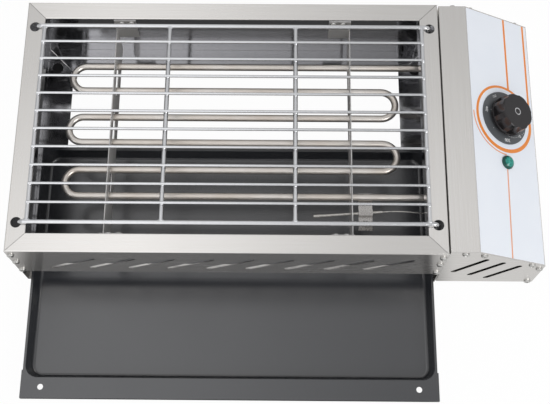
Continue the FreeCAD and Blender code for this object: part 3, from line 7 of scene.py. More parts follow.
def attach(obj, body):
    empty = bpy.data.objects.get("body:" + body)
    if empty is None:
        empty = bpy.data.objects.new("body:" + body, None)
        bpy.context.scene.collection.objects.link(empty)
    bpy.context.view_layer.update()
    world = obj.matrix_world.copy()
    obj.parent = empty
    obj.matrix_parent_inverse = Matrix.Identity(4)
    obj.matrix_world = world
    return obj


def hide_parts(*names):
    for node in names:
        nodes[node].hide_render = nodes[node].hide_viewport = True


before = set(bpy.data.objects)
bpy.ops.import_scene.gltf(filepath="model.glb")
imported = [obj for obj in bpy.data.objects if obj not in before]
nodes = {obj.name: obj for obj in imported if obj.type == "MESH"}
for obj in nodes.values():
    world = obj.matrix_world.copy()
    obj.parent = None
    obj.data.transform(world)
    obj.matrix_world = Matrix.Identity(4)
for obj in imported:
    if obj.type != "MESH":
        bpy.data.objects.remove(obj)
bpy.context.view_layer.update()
MM = 0.001


# Casing: four walls of 1 mm stainless sheet, folded to a rim with a lip above and a ledge below.
# Outside, the sheet is satin brushed along each wall and spreads what it mirrors across the grain.
# Inside, it has the plain mill finish, smoother so that the walls mirror each other, and a painted
# shade that darkens its colour.
def span(node, axis):
    """Where a node of the frame begins and ends along an axis, in millimetres."""
    places = [corner.co[axis] / MM for corner in nodes[node].data.vertices]
    return round(min(places), 3), round(max(places), 3)


left, right = span("front_panel", 0)
front, back = span("front_panel", 1)[0], span("back_panel", 1)[1]
hem_low, rim_top = span("front_panel", 2)
HALF_SHEET = 0.5
# The mill finish and its painted shade begin behind the front wall and its hem, which are satin on
# both sides.
MILL_FROM = 11.5


def linear(hex_colour):
    """An sRGB hex colour as the linear colour that shaders take."""
    shares = [int(hex_colour[i:i + 2], 16) / 255 for i in (1, 3, 5)]
    return [c / 12.92 if c <= 0.04045 else ((c + 0.055) / 1.055) ** 2.4 for c in shares] + [1]


def add(material, kind, inputs=None, **settings):
    """A shader node with its settings, and with its inputs set or linked. Gives its outputs."""
    tree = material.node_tree
    made = tree.nodes.new("ShaderNode" + kind)
    for name, setting in settings.items():
        setattr(made, name, setting)
    for name, given in (inputs or {}).items():
        if isinstance(given, bpy.types.NodeSocket):
            tree.links.new(given, made.inputs[name])
        else:
            made.inputs[name].default_value = given
    return made.outputs


def new_material(name):
    material = bpy.data.materials.new(name)
    material.use_nodes = True
    material.node_tree.nodes.clear()
    return material


def calc(material, operation, a, b=0.0, c=0.0):
    return add(material, "Math", {0: a, 1: b, 2: c}, operation=operation)[0]


def within(material, value, low, high):
    """1 where a length lies between two limits."""
    return calc(material, "COMPARE", value, (low + high) / 2, (high - low) / 2)


def brushed_stainless(name, along):
    """Stainless sheet with a satin grain along one axis. The grain is drawn 0.6 mm apart, coarser
    than the real 0.1 mm, so that it shows. The casing's inner side is mill finished, with a
    painted shade."""
    steel = new_material(name)
    place = add(steel, "TexCoord")["Object"]
    fine, long = 1700, 14
    scale = [long if axis == along else fine for axis in "XYZ"]
    stretched = add(steel, "Mapping", {"Vector": place, "Scale": scale})["Vector"]
    grain = add(steel, "TexNoise", {"Vector": stretched, "Scale": 1.0, "Detail": 4.0})["Fac"]
    cloud = add(steel, "TexNoise", {"Vector": place, "Scale": 9.0, "Detail": 3.0})["Fac"]
    satin = add(steel, "Mix", {
        "Factor": add(steel, "MapRange", {
            "Value": grain, "From Min": 0.3, "From Max": 0.7})["Result"],
        "A": linear("#E0DDD9"), "B": linear("#E5E3E0")}, data_type="RGBA")["Result"]
    where = add(steel, "SeparateXYZ", {"Vector": place})
    mill_side_shaded = calc(steel, "LESS_THAN", where["Z"], (rim_top - HALF_SHEET) * MM)
    for axis, begin, end in (("X", left + HALF_SHEET, right - HALF_SHEET),
                             ("Y", front + MILL_FROM, back - HALF_SHEET)):
        mill_side_shaded = calc(steel, "MULTIPLY", mill_side_shaded, within(steel, where[axis], begin * MM, end * MM))
    # Painted shade: the inner side's colour is a darker grey, standing in for the shade inside the
    # casing.
    colour = add(steel, "Mix", {
        "Factor": mill_side_shaded, "A": satin, "B": linear("#C3C3C5")}, data_type="RGBA")["Result"]
    brushed = add(steel, "MapRange", {
        "Value": calc(steel, "ADD", grain, cloud), "From Min": 0.7, "From Max": 1.3,
        "To Min": 0.23, "To Max": 0.28})["Result"]
    mill = 0.1
    rough = calc(steel, "MULTIPLY_ADD", mill_side_shaded, calc(steel, "SUBTRACT", mill, brushed), brushed)
    bump = add(steel, "Bump", {"Height": grain, "Strength": 0.03, "Distance": 0.0001})["Normal"]
    across = add(steel, "CombineXYZ", {
        "X": 0.0 if along == "X" else 1.0, "Y": 1.0 if along == "X" else 0.0, "Z": 1.0})["Vector"]
    surface = add(steel, "BsdfPrincipled", {
        "Base Color": colour, "Metallic": 1.0, "Roughness": rough, "Normal": bump,
        "Anisotropic": 0.8, "Tangent": across})
    add(steel, "OutputMaterial", {"Surface": surface["BSDF"]})
    return steel


def dress(material, *names):
    for name in names:
        nodes[name].data.materials.clear()
        nodes[name].data.materials.append(material)


sheet_along_x = brushed_stainless("satin_stainless_along_x", "X")
sheet_along_y = brushed_stainless("satin_stainless_along_y", "Y")
dress(sheet_along_x, "front_panel", "back_panel")
dress(sheet_along_y, "left_side_panel", "right_side_panel")


# Screws: M4 pan heads with a cross recess, of bright zinc-plated steel, three at each end of the
# front and back wall. A head is pressed to a low crown and its recess is punched 1.3 mm deep.
# The plating gives a smooth, slightly cloudy shine.
def plated(name, tint, roughness, pale="#E6E5E2"):
    """A bright metal skin, a little cloudy. The clouds are drawn 1.7 mm apart, coarser than the
    real 0.2 mm, so that they show."""
    plate = new_material(name)
    place = add(plate, "TexCoord")["Object"]
    cloud = add(plate, "TexNoise", {"Vector": place, "Scale": 600.0, "Detail": 3.0})["Fac"]
    rough = add(plate, "MapRange", {
        "Value": cloud, "To Min": roughness - 0.08, "To Max": roughness + 0.08})["Result"]
    bump = add(plate, "Bump", {"Height": cloud, "Strength": 0.1, "Distance": 0.0001})["Normal"]
    colour = add(plate, "Mix", {
        "Factor": cloud, "A": linear(tint), "B": linear(pale)}, data_type="RGBA")["Result"]
    surface = add(plate, "BsdfPrincipled", {
        "Base Color": colour, "Metallic": 1.0, "Roughness": rough, "Normal": bump})
    add(plate, "OutputMaterial", {"Surface": surface["BSDF"]})
    return plate


bright_zinc = plated("bright_zinc_plate", "#B4B3B0", 0.24)
dress(bright_zinc, "support_nuts", "control_box_stay_screws", "control_box_stay_nuts",
      "control_box_spacers", "dial_screws", "element_bush_nuts", "element_terminals",
      "thermostat_shaft")

HEAD_HIGH = 2.4
CROSS_HALF, ARM_NARROWED = 2.1, 0.7
RECESS_DEEP, RECESS_TAPER = 1.3, 0.7
screw_form = bmesh.new()
bmesh.ops.create_grid(screw_form, x_segments=3, y_segments=3, size=CROSS_HALF * MM)
for corner in screw_form.verts:
    for axis in (0, 1):
        if abs(corner.co[axis]) < CROSS_HALF / 2 * MM:
            corner.co[axis] *= ARM_NARROWED
on_axis = 0.1 * MM
cross = [f for f in screw_form.faces if min(map(abs, f.calc_center_median().xy)) < on_axis]
rim_edges = [e for e in screw_form.edges if e.is_boundary]
punched = bmesh.ops.extrude_face_region(screw_form, geom=cross)["geom"]
bmesh.ops.delete(screw_form, geom=cross, context="FACES_ONLY")
recess = [v for v in punched if isinstance(v, bmesh.types.BMVert)]
bmesh.ops.translate(screw_form, verts=recess, vec=(0, 0, -RECESS_DEEP * MM))
bmesh.ops.scale(screw_form, verts=recess, vec=(RECESS_TAPER, RECESS_TAPER, 1))
ring_radius, ring_height = 3.0, -0.15
half_step = Matrix.Rotation(math.radians(15), 3, "Z")
crown = bmesh.ops.create_circle(screw_form, segments=12, radius=ring_radius * MM)["verts"]
bmesh.ops.rotate(screw_form, verts=crown, matrix=half_step)
bmesh.ops.translate(screw_form, verts=crown, vec=(0, 0, ring_height * MM))
ring_edges = [e for e in screw_form.edges if e.verts[0] in crown and e.verts[1] in crown]
bmesh.ops.bridge_loops(screw_form, edges=rim_edges + ring_edges)
turned_outline = ((3.7, -0.6), (3.98, -1.4), (4.0, -HEAD_HIGH), (2.0, -HEAD_HIGH), (2.0, -9.6),
                  (1.2, -10.4))
for radius, height in turned_outline:
    grown = bmesh.ops.extrude_edge_only(screw_form, edges=ring_edges)["geom"]
    ring = [v for v in grown if isinstance(v, bmesh.types.BMVert)]
    ring_edges = [e for e in grown if isinstance(e, bmesh.types.BMEdge)]
    bmesh.ops.scale(screw_form, verts=ring, vec=(radius / ring_radius, radius / ring_radius, 1))
    bmesh.ops.translate(screw_form, verts=ring, vec=(0, 0, (height - ring_height) * MM))
    ring_radius, ring_height = radius, height
bmesh.ops.contextual_create(screw_form, geom=ring_edges)
bmesh.ops.recalc_face_normals(screw_form, faces=screw_form.faces)
screw_mesh = bpy.data.meshes.new("pan_head_screw")
screw_form.to_mesh(screw_mesh)
screw_form.free()


def finish_piece(name, form, material, body, smooth_below=35):
    """The mesh as an object at the origin, smooth but for its sharp edges, riding on a body."""
    mesh = bpy.data.meshes.new(name)
    form.to_mesh(mesh)
    form.free()
    mesh.shade_smooth()
    mesh.set_sharp_from_angle(angle=math.radians(smooth_below))
    mesh.materials.append(material)
    piece = bpy.data.objects.new(name, mesh)
    bpy.context.scene.collection.objects.link(piece)
    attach(piece, body)
    return piece


EACH_TURNED = 37


def put_screws(node, places):
    """Screws in place of a node. A place is the middle of the crown in millimetres and which way
    along Y the head looks."""
    form = bmesh.new()
    for turn, (*place, facing) in enumerate(places):
        before = len(form.verts)
        form.from_mesh(screw_mesh)
        form.verts.ensure_lookup_table()
        stand = Matrix.Rotation(math.radians(-90 * facing), 4, "X")
        spin = Matrix.Rotation(math.radians(EACH_TURNED * turn), 4, "Z")
        seat = Matrix.Translation(Vector(place) * MM)
        bmesh.ops.transform(form, matrix=seat @ stand @ spin, verts=form.verts[before:])
    piece = finish_piece(node + "_crossed", form, bright_zinc, "casing")
    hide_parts(node)


FROM_CORNER = 4.4
SCREWS_HIGH = (54, 84, 109)
wall_screws = [(x, z) for x in (left + FROM_CORNER, right - FROM_CORNER) for z in SCREWS_HIGH]
put_screws("front_panel_screws", [(x, front - HEAD_HIGH, z, -1) for x, z in wall_screws])
put_screws("back_panel_screws", [(x, back + HEAD_HIGH, z, 1) for x, z in wall_screws])


# Hem: the front wall's lower edge, above the tray, is folded inwards by 10 mm to stiffen it.
# It is the same sheet, and through the low ends of the vents it shows as a bright strip.
HEM_FROM_CORNER = 16
hem_outline = ((1.0, 0.0), (9.7, 0.0), (10.0, 0.3), (10.0, 0.7), (9.7, 1.0), (2.0, 1.0),
               (1.3, 1.3), (1.0, 2.0))
hem_form = bmesh.new()
hem_end = [hem_form.verts.new(Vector((left + HEM_FROM_CORNER, front + deep, hem_low + up)) * MM)
           for deep, up in hem_outline]
hem_side = bmesh.ops.contextual_create(hem_form, geom=hem_end)["faces"]
hem_grown = bmesh.ops.extrude_face_region(hem_form, geom=hem_side)["geom"]
bmesh.ops.translate(hem_form, verts=[v for v in hem_grown if isinstance(v, bmesh.types.BMVert)],
                    vec=((right - left - 2 * HEM_FROM_CORNER) * MM, 0, 0))
bmesh.ops.recalc_face_normals(hem_form, faces=hem_form.faces)
finish_piece("front_wall_hem", hem_form, sheet_along_x, "casing")


# Feet: four black rubber feet pushed up through the ledges.
# Moulded rubber is matte and slightly dusty in its pores. They are drawn 2.4 mm apart, coarser
# than the real 0.1 mm, so that they show.
foot_rubber = new_material("black_moulded_rubber")
rubber_place = add(foot_rubber, "TexCoord")["Object"]
rubber_dust = add(foot_rubber, "TexNoise", {
    "Vector": rubber_place, "Scale": 420.0, "Detail": 5.0})["Fac"]
rubber_black = add(foot_rubber, "Mix", {
    "Factor": rubber_dust, "A": linear("#1B1B1C"), "B": linear("#2E2D2D")},
    data_type="RGBA")["Result"]
add(foot_rubber, "OutputMaterial", {"Surface": add(foot_rubber, "BsdfPrincipled", {
    "Base Color": rubber_black, "Roughness": 0.78,
    "Normal": add(foot_rubber, "Bump", {
        "Height": rubber_dust, "Strength": 0.25, "Distance": 0.0003})["Normal"]})["BSDF"]})
dress(foot_rubber, "foot_front_left", "foot_back_left", "foot_front_right", "foot_back_right")


# Grate: welded steel wire, 5 mm round the edge and 3.2 mm across, chrome plated after welding.
# The plate is a soft mirror, with a low ripple of about 4 mm from the drawn wire under it.
chrome = new_material("chrome_plated_wire")
chrome_place = add(chrome, "TexCoord")["Object"]
chrome_ripple = add(chrome, "TexNoise", {
    "Vector": chrome_place, "Scale": 260.0, "Detail": 2.0})["Fac"]
add(chrome, "OutputMaterial", {"Surface": add(chrome, "BsdfPrincipled", {
    "Base Color": linear("#DADBDD"), "Metallic": 1.0,
    "Roughness": add(chrome, "MapRange", {
        "Value": chrome_ripple, "To Min": 0.14, "To Max": 0.26})["Result"],
    "Normal": add(chrome, "Bump", {
        "Height": chrome_ripple, "Strength": 0.15, "Distance": 0.0002})["Normal"]})["BSDF"]})
dress(chrome, "grate_end_wires", "grate_bearers", "grate_cross_rods")


# Welds: where two wires were pressed together under current, the steel squeezed out to a small
# bead on each side, now under the same chrome.
BEARERS_AT = (-269.9, -126.73, 16.43, 159.6)
FIRST_ROD_AT, ROD_PITCH, RODS = -33.15, 21.445, 10
END_WELDS_AT = (-51.9, 179.8)
# A bead by the height of its middle and its half sizes.
ROD_BEAD = (127.2, (2.565, 2.64, 1.3))
END_BEAD = (124.8, (3.915, 2.04, 2.6))
welds = [(FIRST_ROD_AT + ROD_PITCH * k, *ROD_BEAD) for k in range(RODS)]
welds += [(weld_at, *END_BEAD) for weld_at in END_WELDS_AT]
weld_form = bmesh.new()
for bearer_at in BEARERS_AT:
    for weld_at, height, half_sizes in welds:
        bead = bmesh.ops.create_icosphere(weld_form, subdivisions=2, radius=MM)["verts"]
        bmesh.ops.scale(weld_form, verts=bead, vec=half_sizes)
        bmesh.ops.translate(weld_form, verts=bead, vec=Vector((bearer_at, weld_at, height)) * MM)
finish_piece("grate_welds", weld_form, chrome, "grate")


# Heating element: an annealed stainless tube of 8 mm, bent to three hairpins, with the heating
# wire packed in it. Annealing leaves it satin, with a faint straw tint that changes every 60 mm.
# The grain of its skin is drawn 1.4 mm apart, coarser than the real 0.1 mm, so that it shows.
heater_steel = new_material("annealed_stainless_tube")
heater_place = add(heater_steel, "TexCoord")["Object"]
heater_cloud = add(heater_steel, "TexNoise", {
    "Vector": heater_place, "Scale": 16.0, "Detail": 3.0})["Fac"]
heater_skin = add(heater_steel, "TexNoise", {
    "Vector": heater_place, "Scale": 700.0, "Detail": 3.0})["Fac"]
heater_tint = add(heater_steel, "Mix", {
    "Factor": add(heater_steel, "MapRange", {
        "Value": heater_cloud, "From Min": 0.35, "From Max": 0.7})["Result"],
    "A": linear("#E6E1DB"), "B": linear("#D4CABF")}, data_type="RGBA")["Result"]
add(heater_steel, "OutputMaterial", {"Surface": add(heater_steel, "BsdfPrincipled", {
    "Base Color": heater_tint, "Metallic": 1.0,
    "Roughness": add(heater_steel, "MapRange", {
        "Value": heater_skin, "To Min": 0.24, "To Max": 0.4})["Result"],
    "Normal": add(heater_steel, "Bump", {
        "Height": heater_skin, "Strength": 0.2, "Distance": 0.0001})["Normal"]})["BSDF"]})
dress(heater_steel, "heating_element")


# Supports, clip, bushes and probe: plain stainless round the heater, left as rolled, pressed or
# drawn. Each plate hangs by its tabs on four screws and their nuts. The beads are glazed ceramic,
# faintly flecked every 2 mm.
dress(plated("dull_rolled_stainless", "#D6D4D4", 0.62),
      "left_element_support", "right_element_support")
dress(plated("pressed_stainless", "#A3A09D", 0.28, "#C9C6C3"), "probe_clip")
dress(plated("bright_drawn_steel", "#BDB8B0", 0.24),
      "element_bushes", "temperature_probe", "capillary_tube")
TAB_THICK, TAB_SCREW_HIGH = 1.0, 114
TAB_SCREWS_AT = (-183.9, -172.7, 60.2, 71.4)
front_tab, back_tab = span("left_element_support", 1)
crown_over_tab = TAB_THICK + HEAD_HIGH
put_screws("support_screws", [(x, y, TAB_SCREW_HIGH, facing) for x in TAB_SCREWS_AT
                              for y, facing in ((front_tab + crown_over_tab, 1),
                                                (back_tab - crown_over_tab, -1))])
glazed = new_material("glazed_ceramic")
glaze_fleck = add(glazed, "TexNoise", {
    "Vector": add(glazed, "TexCoord")["Object"], "Scale": 500.0})["Fac"]
glaze_cream = add(glazed, "Mix", {
    "Factor": glaze_fleck, "A": linear("#EDE9DF"), "B": linear("#DCD6C8")},
    data_type="RGBA")["Result"]
add(glazed, "OutputMaterial", {"Surface": add(glazed, "BsdfPrincipled", {
    "Base Color": glaze_cream, "Roughness": 0.2, "Coat Weight": 0.4})["BSDF"]})
dress(glazed, "element_insulators")


# Drip tray: 0.9 mm steel, deep drawn and coated inside and out with a charcoal non-stick paint.
# The coating is satin over a fine grit, and gives a soft shine. The grit is drawn 1.1 mm apart,
# coarser than the real 0.2 mm, so that it shows.
tray_paint = new_material("charcoal_non_stick_coating")
tray_place = add(tray_paint, "TexCoord")["Object"]
tray_grit = add(tray_paint, "TexNoise", {
    "Vector": tray_place, "Scale": 900.0, "Detail": 4.0})["Fac"]
tray_cloud = add(tray_paint, "TexNoise", {
    "Vector": tray_place, "Scale": 7.0, "Detail": 2.0})["Fac"]
tray_charcoal = add(tray_paint, "Mix", {
    "Factor": tray_grit, "A": linear("#1D1F23"), "B": linear("#282A2F")},
    data_type="RGBA")["Result"]
add(tray_paint, "OutputMaterial", {"Surface": add(tray_paint, "BsdfPrincipled", {
    "Base Color": tray_charcoal, "Specular IOR Level": 1.0, "IOR": 1.6,
    "Roughness": add(tray_paint, "MapRange", {
        "Value": tray_cloud, "From Min": 0.3, "From Max": 0.7,
        "To Min": 0.22, "To Max": 0.27})["Result"],
    "Normal": add(tray_paint, "Bump", {
        "Height": tray_grit, "Strength": 0.12, "Distance": 0.0002})["Normal"]})["BSDF"]})
dress(tray_paint, "drip_tray")


# Control box: the same sheet, folded to a shell with a slanted panel and closed by two end
# plates and a pan below. Its grain runs front to back on the shell and across on the plates.
dress(sheet_along_y, "control_box_shell", "control_box_bottom_cover")
dress(sheet_along_x, "control_box_front_plate", "control_box_back_plate")
plate_front = span("control_box_front_plate", 1)[0]
plate_back = span("control_box_back_plate", 1)[1]
box_screws = [(197.5, 117.4), (218.08, 112.61), (276.59, 78.14), (287.4, 63.8), (285.5, 13.9)]
for node, crown_at, facing in (("control_box_front_screws", plate_front - HEAD_HIGH, -1),
                               ("control_box_back_screws", plate_back + HEAD_HIGH, 1)):
    put_screws(node, [(x, crown_at, z, facing) for x, z in box_screws])


# Panel label: a printed satin film over the whole slanted panel, cool white with orange lines.
# The lines are printed, so they lie in the film with no edge of their own. The grain of its skin
# is drawn 1.1 mm apart, coarser than the real 0.1 mm, so that it shows.
PANEL_RUN, PANEL_DROP = 80.8, 47.6
PANEL_TURN = math.atan2(PANEL_DROP, PANEL_RUN)
PANEL_TOP = Vector((0.2112, -0.0866, 0.122))
PANEL_DOWN = Vector((math.cos(PANEL_TURN), 0, -math.sin(PANEL_TURN)))
PANEL_OUT = Vector((math.sin(PANEL_TURN), 0, math.cos(PANEL_TURN)))
BACKWARDS = Vector((0, 1, 0))
DIAL_AT = (48.0, 168.4)
RING_INSIDE, RING_OUTSIDE, RING_OUTSIDE_AT = 37.2, 40.8, (48.1, 167.6)
ARC_BAND = (43.5, 45.1)
STRIPE_BAND, STRIPE_FROM = (56.1, 58.9), 205.9
EDGE_STRIPE_BAND = (85.9, 88.7)
THIN_LINE_AT, THIN_LINE_SLANT, THIN_LINE_TO = 45.90, 0.0197, 107.4
THIN_LINE_HALF = 0.9


def on_panel(material):
    """How far a point lies down the slanted panel, to the back and out from it, in millimetres."""
    place = add(material, "VectorMath", {
        0: add(material, "TexCoord")["Object"], 1: PANEL_TOP}, operation="SUBTRACT")["Vector"]
    return [calc(material, "MULTIPLY", add(material, "VectorMath", {
        0: place, 1: way}, operation="DOT_PRODUCT")["Value"], 1 / MM)
        for way in (PANEL_DOWN, BACKWARDS, PANEL_OUT)]


def from_point(material, down, depth, at):
    across = calc(material, "SUBTRACT", down, at[0])
    up = calc(material, "SUBTRACT", depth, at[1])
    return calc(material, "SQRT", calc(material, "MULTIPLY_ADD", across, across,
                                       calc(material, "MULTIPLY", up, up)))


film = new_material("printed_satin_film")
down, depth = on_panel(film)[:2]
from_dial = from_point(film, down, depth, DIAL_AT)
ring_in = calc(film, "GREATER_THAN", from_dial, RING_INSIDE)
ring_out = calc(film, "LESS_THAN", from_point(film, down, depth, RING_OUTSIDE_AT), RING_OUTSIDE)
ring = calc(film, "MULTIPLY", ring_in, ring_out)
arc_quarter = calc(film, "MULTIPLY", calc(film, "LESS_THAN", down, DIAL_AT[0]),
                   calc(film, "LESS_THAN", depth, DIAL_AT[1]))
arc = calc(film, "MULTIPLY", within(film, from_dial, *ARC_BAND), arc_quarter)
stripe = calc(film, "MULTIPLY", within(film, down, *STRIPE_BAND),
              calc(film, "GREATER_THAN", depth, STRIPE_FROM))
edge_stripe = calc(film, "MULTIPLY", within(film, down, *EDGE_STRIPE_BAND),
                   calc(film, "GREATER_THAN", depth, DIAL_AT[1]))
slant = calc(film, "MULTIPLY_ADD", depth, THIN_LINE_SLANT, THIN_LINE_AT)
thin_line = calc(film, "MULTIPLY", within(
    film, calc(film, "SUBTRACT", down, slant), -THIN_LINE_HALF, THIN_LINE_HALF),
    calc(film, "LESS_THAN", depth, THIN_LINE_TO))
strong = calc(film, "MAXIMUM", calc(film, "MAXIMUM", ring, stripe), edge_stripe)
light = calc(film, "MAXIMUM", arc, thin_line)
film_place = add(film, "TexCoord")["Object"]
film_cloud = add(film, "TexNoise", {"Vector": film_place, "Scale": 30.0})["Fac"]
film_white = add(film, "Mix", {
    "Factor": film_cloud, "A": linear("#E8EDF5"), "B": linear("#EEF2F8")},
    data_type="RGBA")["Result"]
film_light = add(film, "Mix", {
    "Factor": light, "A": film_white, "B": linear("#E8A27E")}, data_type="RGBA")["Result"]
film_print = add(film, "Mix", {
    "Factor": strong, "A": film_light, "B": linear("#ED8D3C")}, data_type="RGBA")["Result"]
film_skin = add(film, "TexNoise", {"Vector": film_place, "Scale": 900.0, "Detail": 3.0})["Fac"]
add(film, "OutputMaterial", {"Surface": add(film, "BsdfPrincipled", {
    "Base Color": film_print, "Roughness": 0.42,
    "Normal": add(film, "Bump", {
        "Height": film_skin, "Strength": 0.06, "Distance": 0.0001})["Normal"]})["BSDF"]})
dress(film, "panel_label")


# Dial: a charcoal plastic disc screwed to the panel under the knob, moulded with a fine
# spark-eroded texture. Its scale of plain numbers is printed in pale grey ink.
def moulded_plastic(name, dark, pale, roughness):
    """A moulded plastic. Its pores are drawn 1.1 mm apart, coarser than the real 0.1 mm, so that
    they show."""
    plastic = new_material(name)
    place = add(plastic, "TexCoord")["Object"]
    pores = add(plastic, "TexNoise", {"Vector": place, "Scale": 900.0, "Detail": 4.0})["Fac"]
    add(plastic, "OutputMaterial", {"Surface": add(plastic, "BsdfPrincipled", {
        "Base Color": add(plastic, "Mix", {
            "Factor": pores, "A": linear(dark), "B": linear(pale)}, data_type="RGBA")["Result"],
        "Roughness": add(plastic, "MapRange", {
            "Value": pores, "To Min": roughness - 0.05, "To Max": roughness + 0.05})["Result"],
        "Normal": add(plastic, "Bump", {
            "Height": pores, "Strength": 0.2, "Distance": 0.0001})["Normal"]})["BSDF"]})
    return plastic


def height_over_panel(node):
    return max((v.co - PANEL_TOP).dot(PANEL_OUT) for v in nodes[node].data.vertices)


dress(moulded_plastic("charcoal_abs", "#4F5255", "#5C5F62", 0.42), "dial_plate")
pale_ink = moulded_plastic("pale_grey_ink", "#F0F0F0", "#FAFAFA", 0.5)
INK_THICK, INK_MIDDLE = 0.04, 0.01
dial_middle = PANEL_TOP + PANEL_DOWN * DIAL_AT[0] * MM + BACKWARDS * DIAL_AT[1] * MM
dial_face = dial_middle + PANEL_OUT * (height_over_panel("dial_plate") + INK_MIDDLE * MM)
# Figures and dots by their angle from straight down the panel, their radius and their size.
figures_at = ((-40, 27.6, 5.4, "0"), (12, 27.2, 4.2, "50"), (65, 27.2, 4.2, "100"),
              (119, 27.2, 4.2, "150"), (169, 26.4, 4.2, "200"), (-86, 26.6, 5.4, "300"))
dots_at = [(-77 + 6.5 * k, 22 + k, 0.42) for k in range(9)]
dots_at += [(163, 20.6, 0.5), (114, 22.4, 0.5), (222, 24.0, 0.5)]


def on_dial(angle, radius):
    """The place on the dial's face at an angle from straight down the panel, upright outwards."""
    turn = math.radians(angle)
    outward = PANEL_DOWN * math.cos(turn) + BACKWARDS * math.sin(turn)
    stand = Matrix((outward.cross(PANEL_OUT), outward, PANEL_OUT)).transposed().to_4x4()
    return Matrix.Translation(dial_face + outward * radius * MM) @ stand


scale_form = bmesh.new()
for angle, radius, size, figures in figures_at:
    letters = bpy.data.curves.new("figures", "FONT")
    letters.body = figures
    letters.size = size * MM
    letters.extrude = INK_THICK / 2 * MM
    letters.resolution_u = 3
    letters.align_x = "CENTER"
    letters.align_y = "CENTER"
    holder = bpy.data.objects.new("figures", letters)
    bpy.context.scene.collection.objects.link(holder)
    bpy.context.view_layer.update()
    flat = bpy.data.meshes.new_from_object(holder)
    bpy.data.objects.remove(holder)
    flat.transform(on_dial(angle, radius))
    scale_form.from_mesh(flat)
for angle, radius, size in dots_at:
    dot = bmesh.ops.create_cone(scale_form, cap_ends=True, segments=8, radius1=size * MM,
                                radius2=size * MM, depth=INK_THICK * MM)["verts"]
    bmesh.ops.transform(scale_form, matrix=on_dial(angle, radius), verts=dot)
finish_piece("dial_scale", scale_form, pale_ink, "casing")


# Knob: black phenolic, compression moulded, with eight shallow flutes and a plain disc on top.
# Phenolic comes out of the mould with a deep, slightly waxy gloss. A pale ring is printed in the
# sunk middle of the disc.
TOP_RING_BAND = (3.2, 4.3)
TOP_RING_DEEP = 0.8
phenolic = new_material("black_phenolic")
phenolic_place = add(phenolic, "TexCoord")["Object"]
# Flow marks are 6 mm long. The pores are drawn 1.1 mm apart, coarser than the real 0.1 mm.
phenolic_flow = add(phenolic, "TexNoise", {
    "Vector": phenolic_place, "Scale": 160.0, "Detail": 3.0})["Fac"]
phenolic_pores = add(phenolic, "TexNoise", {
    "Vector": phenolic_place, "Scale": 900.0, "Detail": 3.0})["Fac"]
knob_down, knob_depth, knob_out = on_panel(phenolic)
knob_top = height_over_panel("thermostat_knob") / MM
from_knob = from_point(phenolic, knob_down, knob_depth, DIAL_AT)
top_ring = calc(phenolic, "MULTIPLY", within(phenolic, from_knob, *TOP_RING_BAND),
                calc(phenolic, "GREATER_THAN", knob_out, knob_top - TOP_RING_DEEP))
phenolic_black = add(phenolic, "Mix", {
    "Factor": phenolic_flow, "A": linear("#151315"), "B": linear("#201D1E")},
    data_type="RGBA")["Result"]
phenolic_print = add(phenolic, "Mix", {
    "Factor": top_ring, "A": phenolic_black, "B": linear("#C4C4C6")}, data_type="RGBA")["Result"]
add(phenolic, "OutputMaterial", {"Surface": add(phenolic, "BsdfPrincipled", {
    "Base Color": phenolic_print, "Coat Weight": 0.1,
    "Roughness": add(phenolic, "MapRange", {
        "Value": phenolic_pores, "To Min": 0.16, "To Max": 0.26})["Result"],
    "Normal": add(phenolic, "Bump", {
        "Height": phenolic_pores, "Strength": 0.08, "Distance": 0.0001})["Normal"]})["BSDF"]})
dress(phenolic, "thermostat_knob")


# Pilot lamp: a green polycarbonate lens snapped on a black barrel that is held by a nut behind
# the panel. The clear green plastic is cast over facets 2.4 mm wide that scatter the light, and
# the glints of the facets are painted as lighter and darker greens.
LAMP_AT = (48.3, 114.7)
LENS_RADIUS = 6.2
lamp_green = new_material("green_polycarbonate")
lamp_place = add(lamp_green, "TexCoord")["Object"]
facets = add(lamp_green, "TexVoronoi", {"Vector": lamp_place, "Scale": 420.0})["Color"]
facet_relief_and_glint = add(lamp_green, "SeparateColor", {"Color": facets})["Red"]
lamp_down, lamp_depth = on_panel(lamp_green)[:2]
from_lamp = from_point(lamp_green, lamp_down, lamp_depth, LAMP_AT)
lamp_rim = calc(lamp_green, "GREATER_THAN", from_lamp, LENS_RADIUS)
# Painted glints: each facet gets a random green between dark and bright, for the light it catches;
# beyond 6.2 mm the lens is drawn darker.
lamp_glints = add(lamp_green, "Mix", {
    "Factor": facet_relief_and_glint, "A": linear("#0A6357"), "B": linear("#2F9F90")},
    data_type="RGBA")["Result"]
lamp_colour = add(lamp_green, "Mix", {
    "Factor": lamp_rim, "A": lamp_glints, "B": linear("#084A41")}, data_type="RGBA")["Result"]
add(lamp_green, "OutputMaterial", {"Surface": add(lamp_green, "BsdfPrincipled", {
    "Base Color": lamp_colour, "Roughness": 0.1,
    "Normal": add(lamp_green, "Bump", {
        "Height": facet_relief_and_glint, "Strength": 0.4, "Distance": 0.0003})["Normal"]})["BSDF"]})
dress(lamp_green, "pilot_lamp_lens")


# Parts in the box: the thermostat's body, the lamp's barrel and nut and the cable gland are black
# nylon, the terminal block is natural nylon with brass screws.
dress(moulded_plastic("black_nylon", "#17181A", "#222326", 0.6),
      "pilot_lamp_barrel", "pilot_lamp_nut", "thermostat_body", "cable_gland", "cable_gland_nut")
dress(moulded_plastic("natural_nylon", "#D6D1C2", "#E2DDD0", 0.5), "terminal_block")
dress(plated("machined_brass", "#B8934C", 0.25, "#D2B26A"), "terminal_screws")


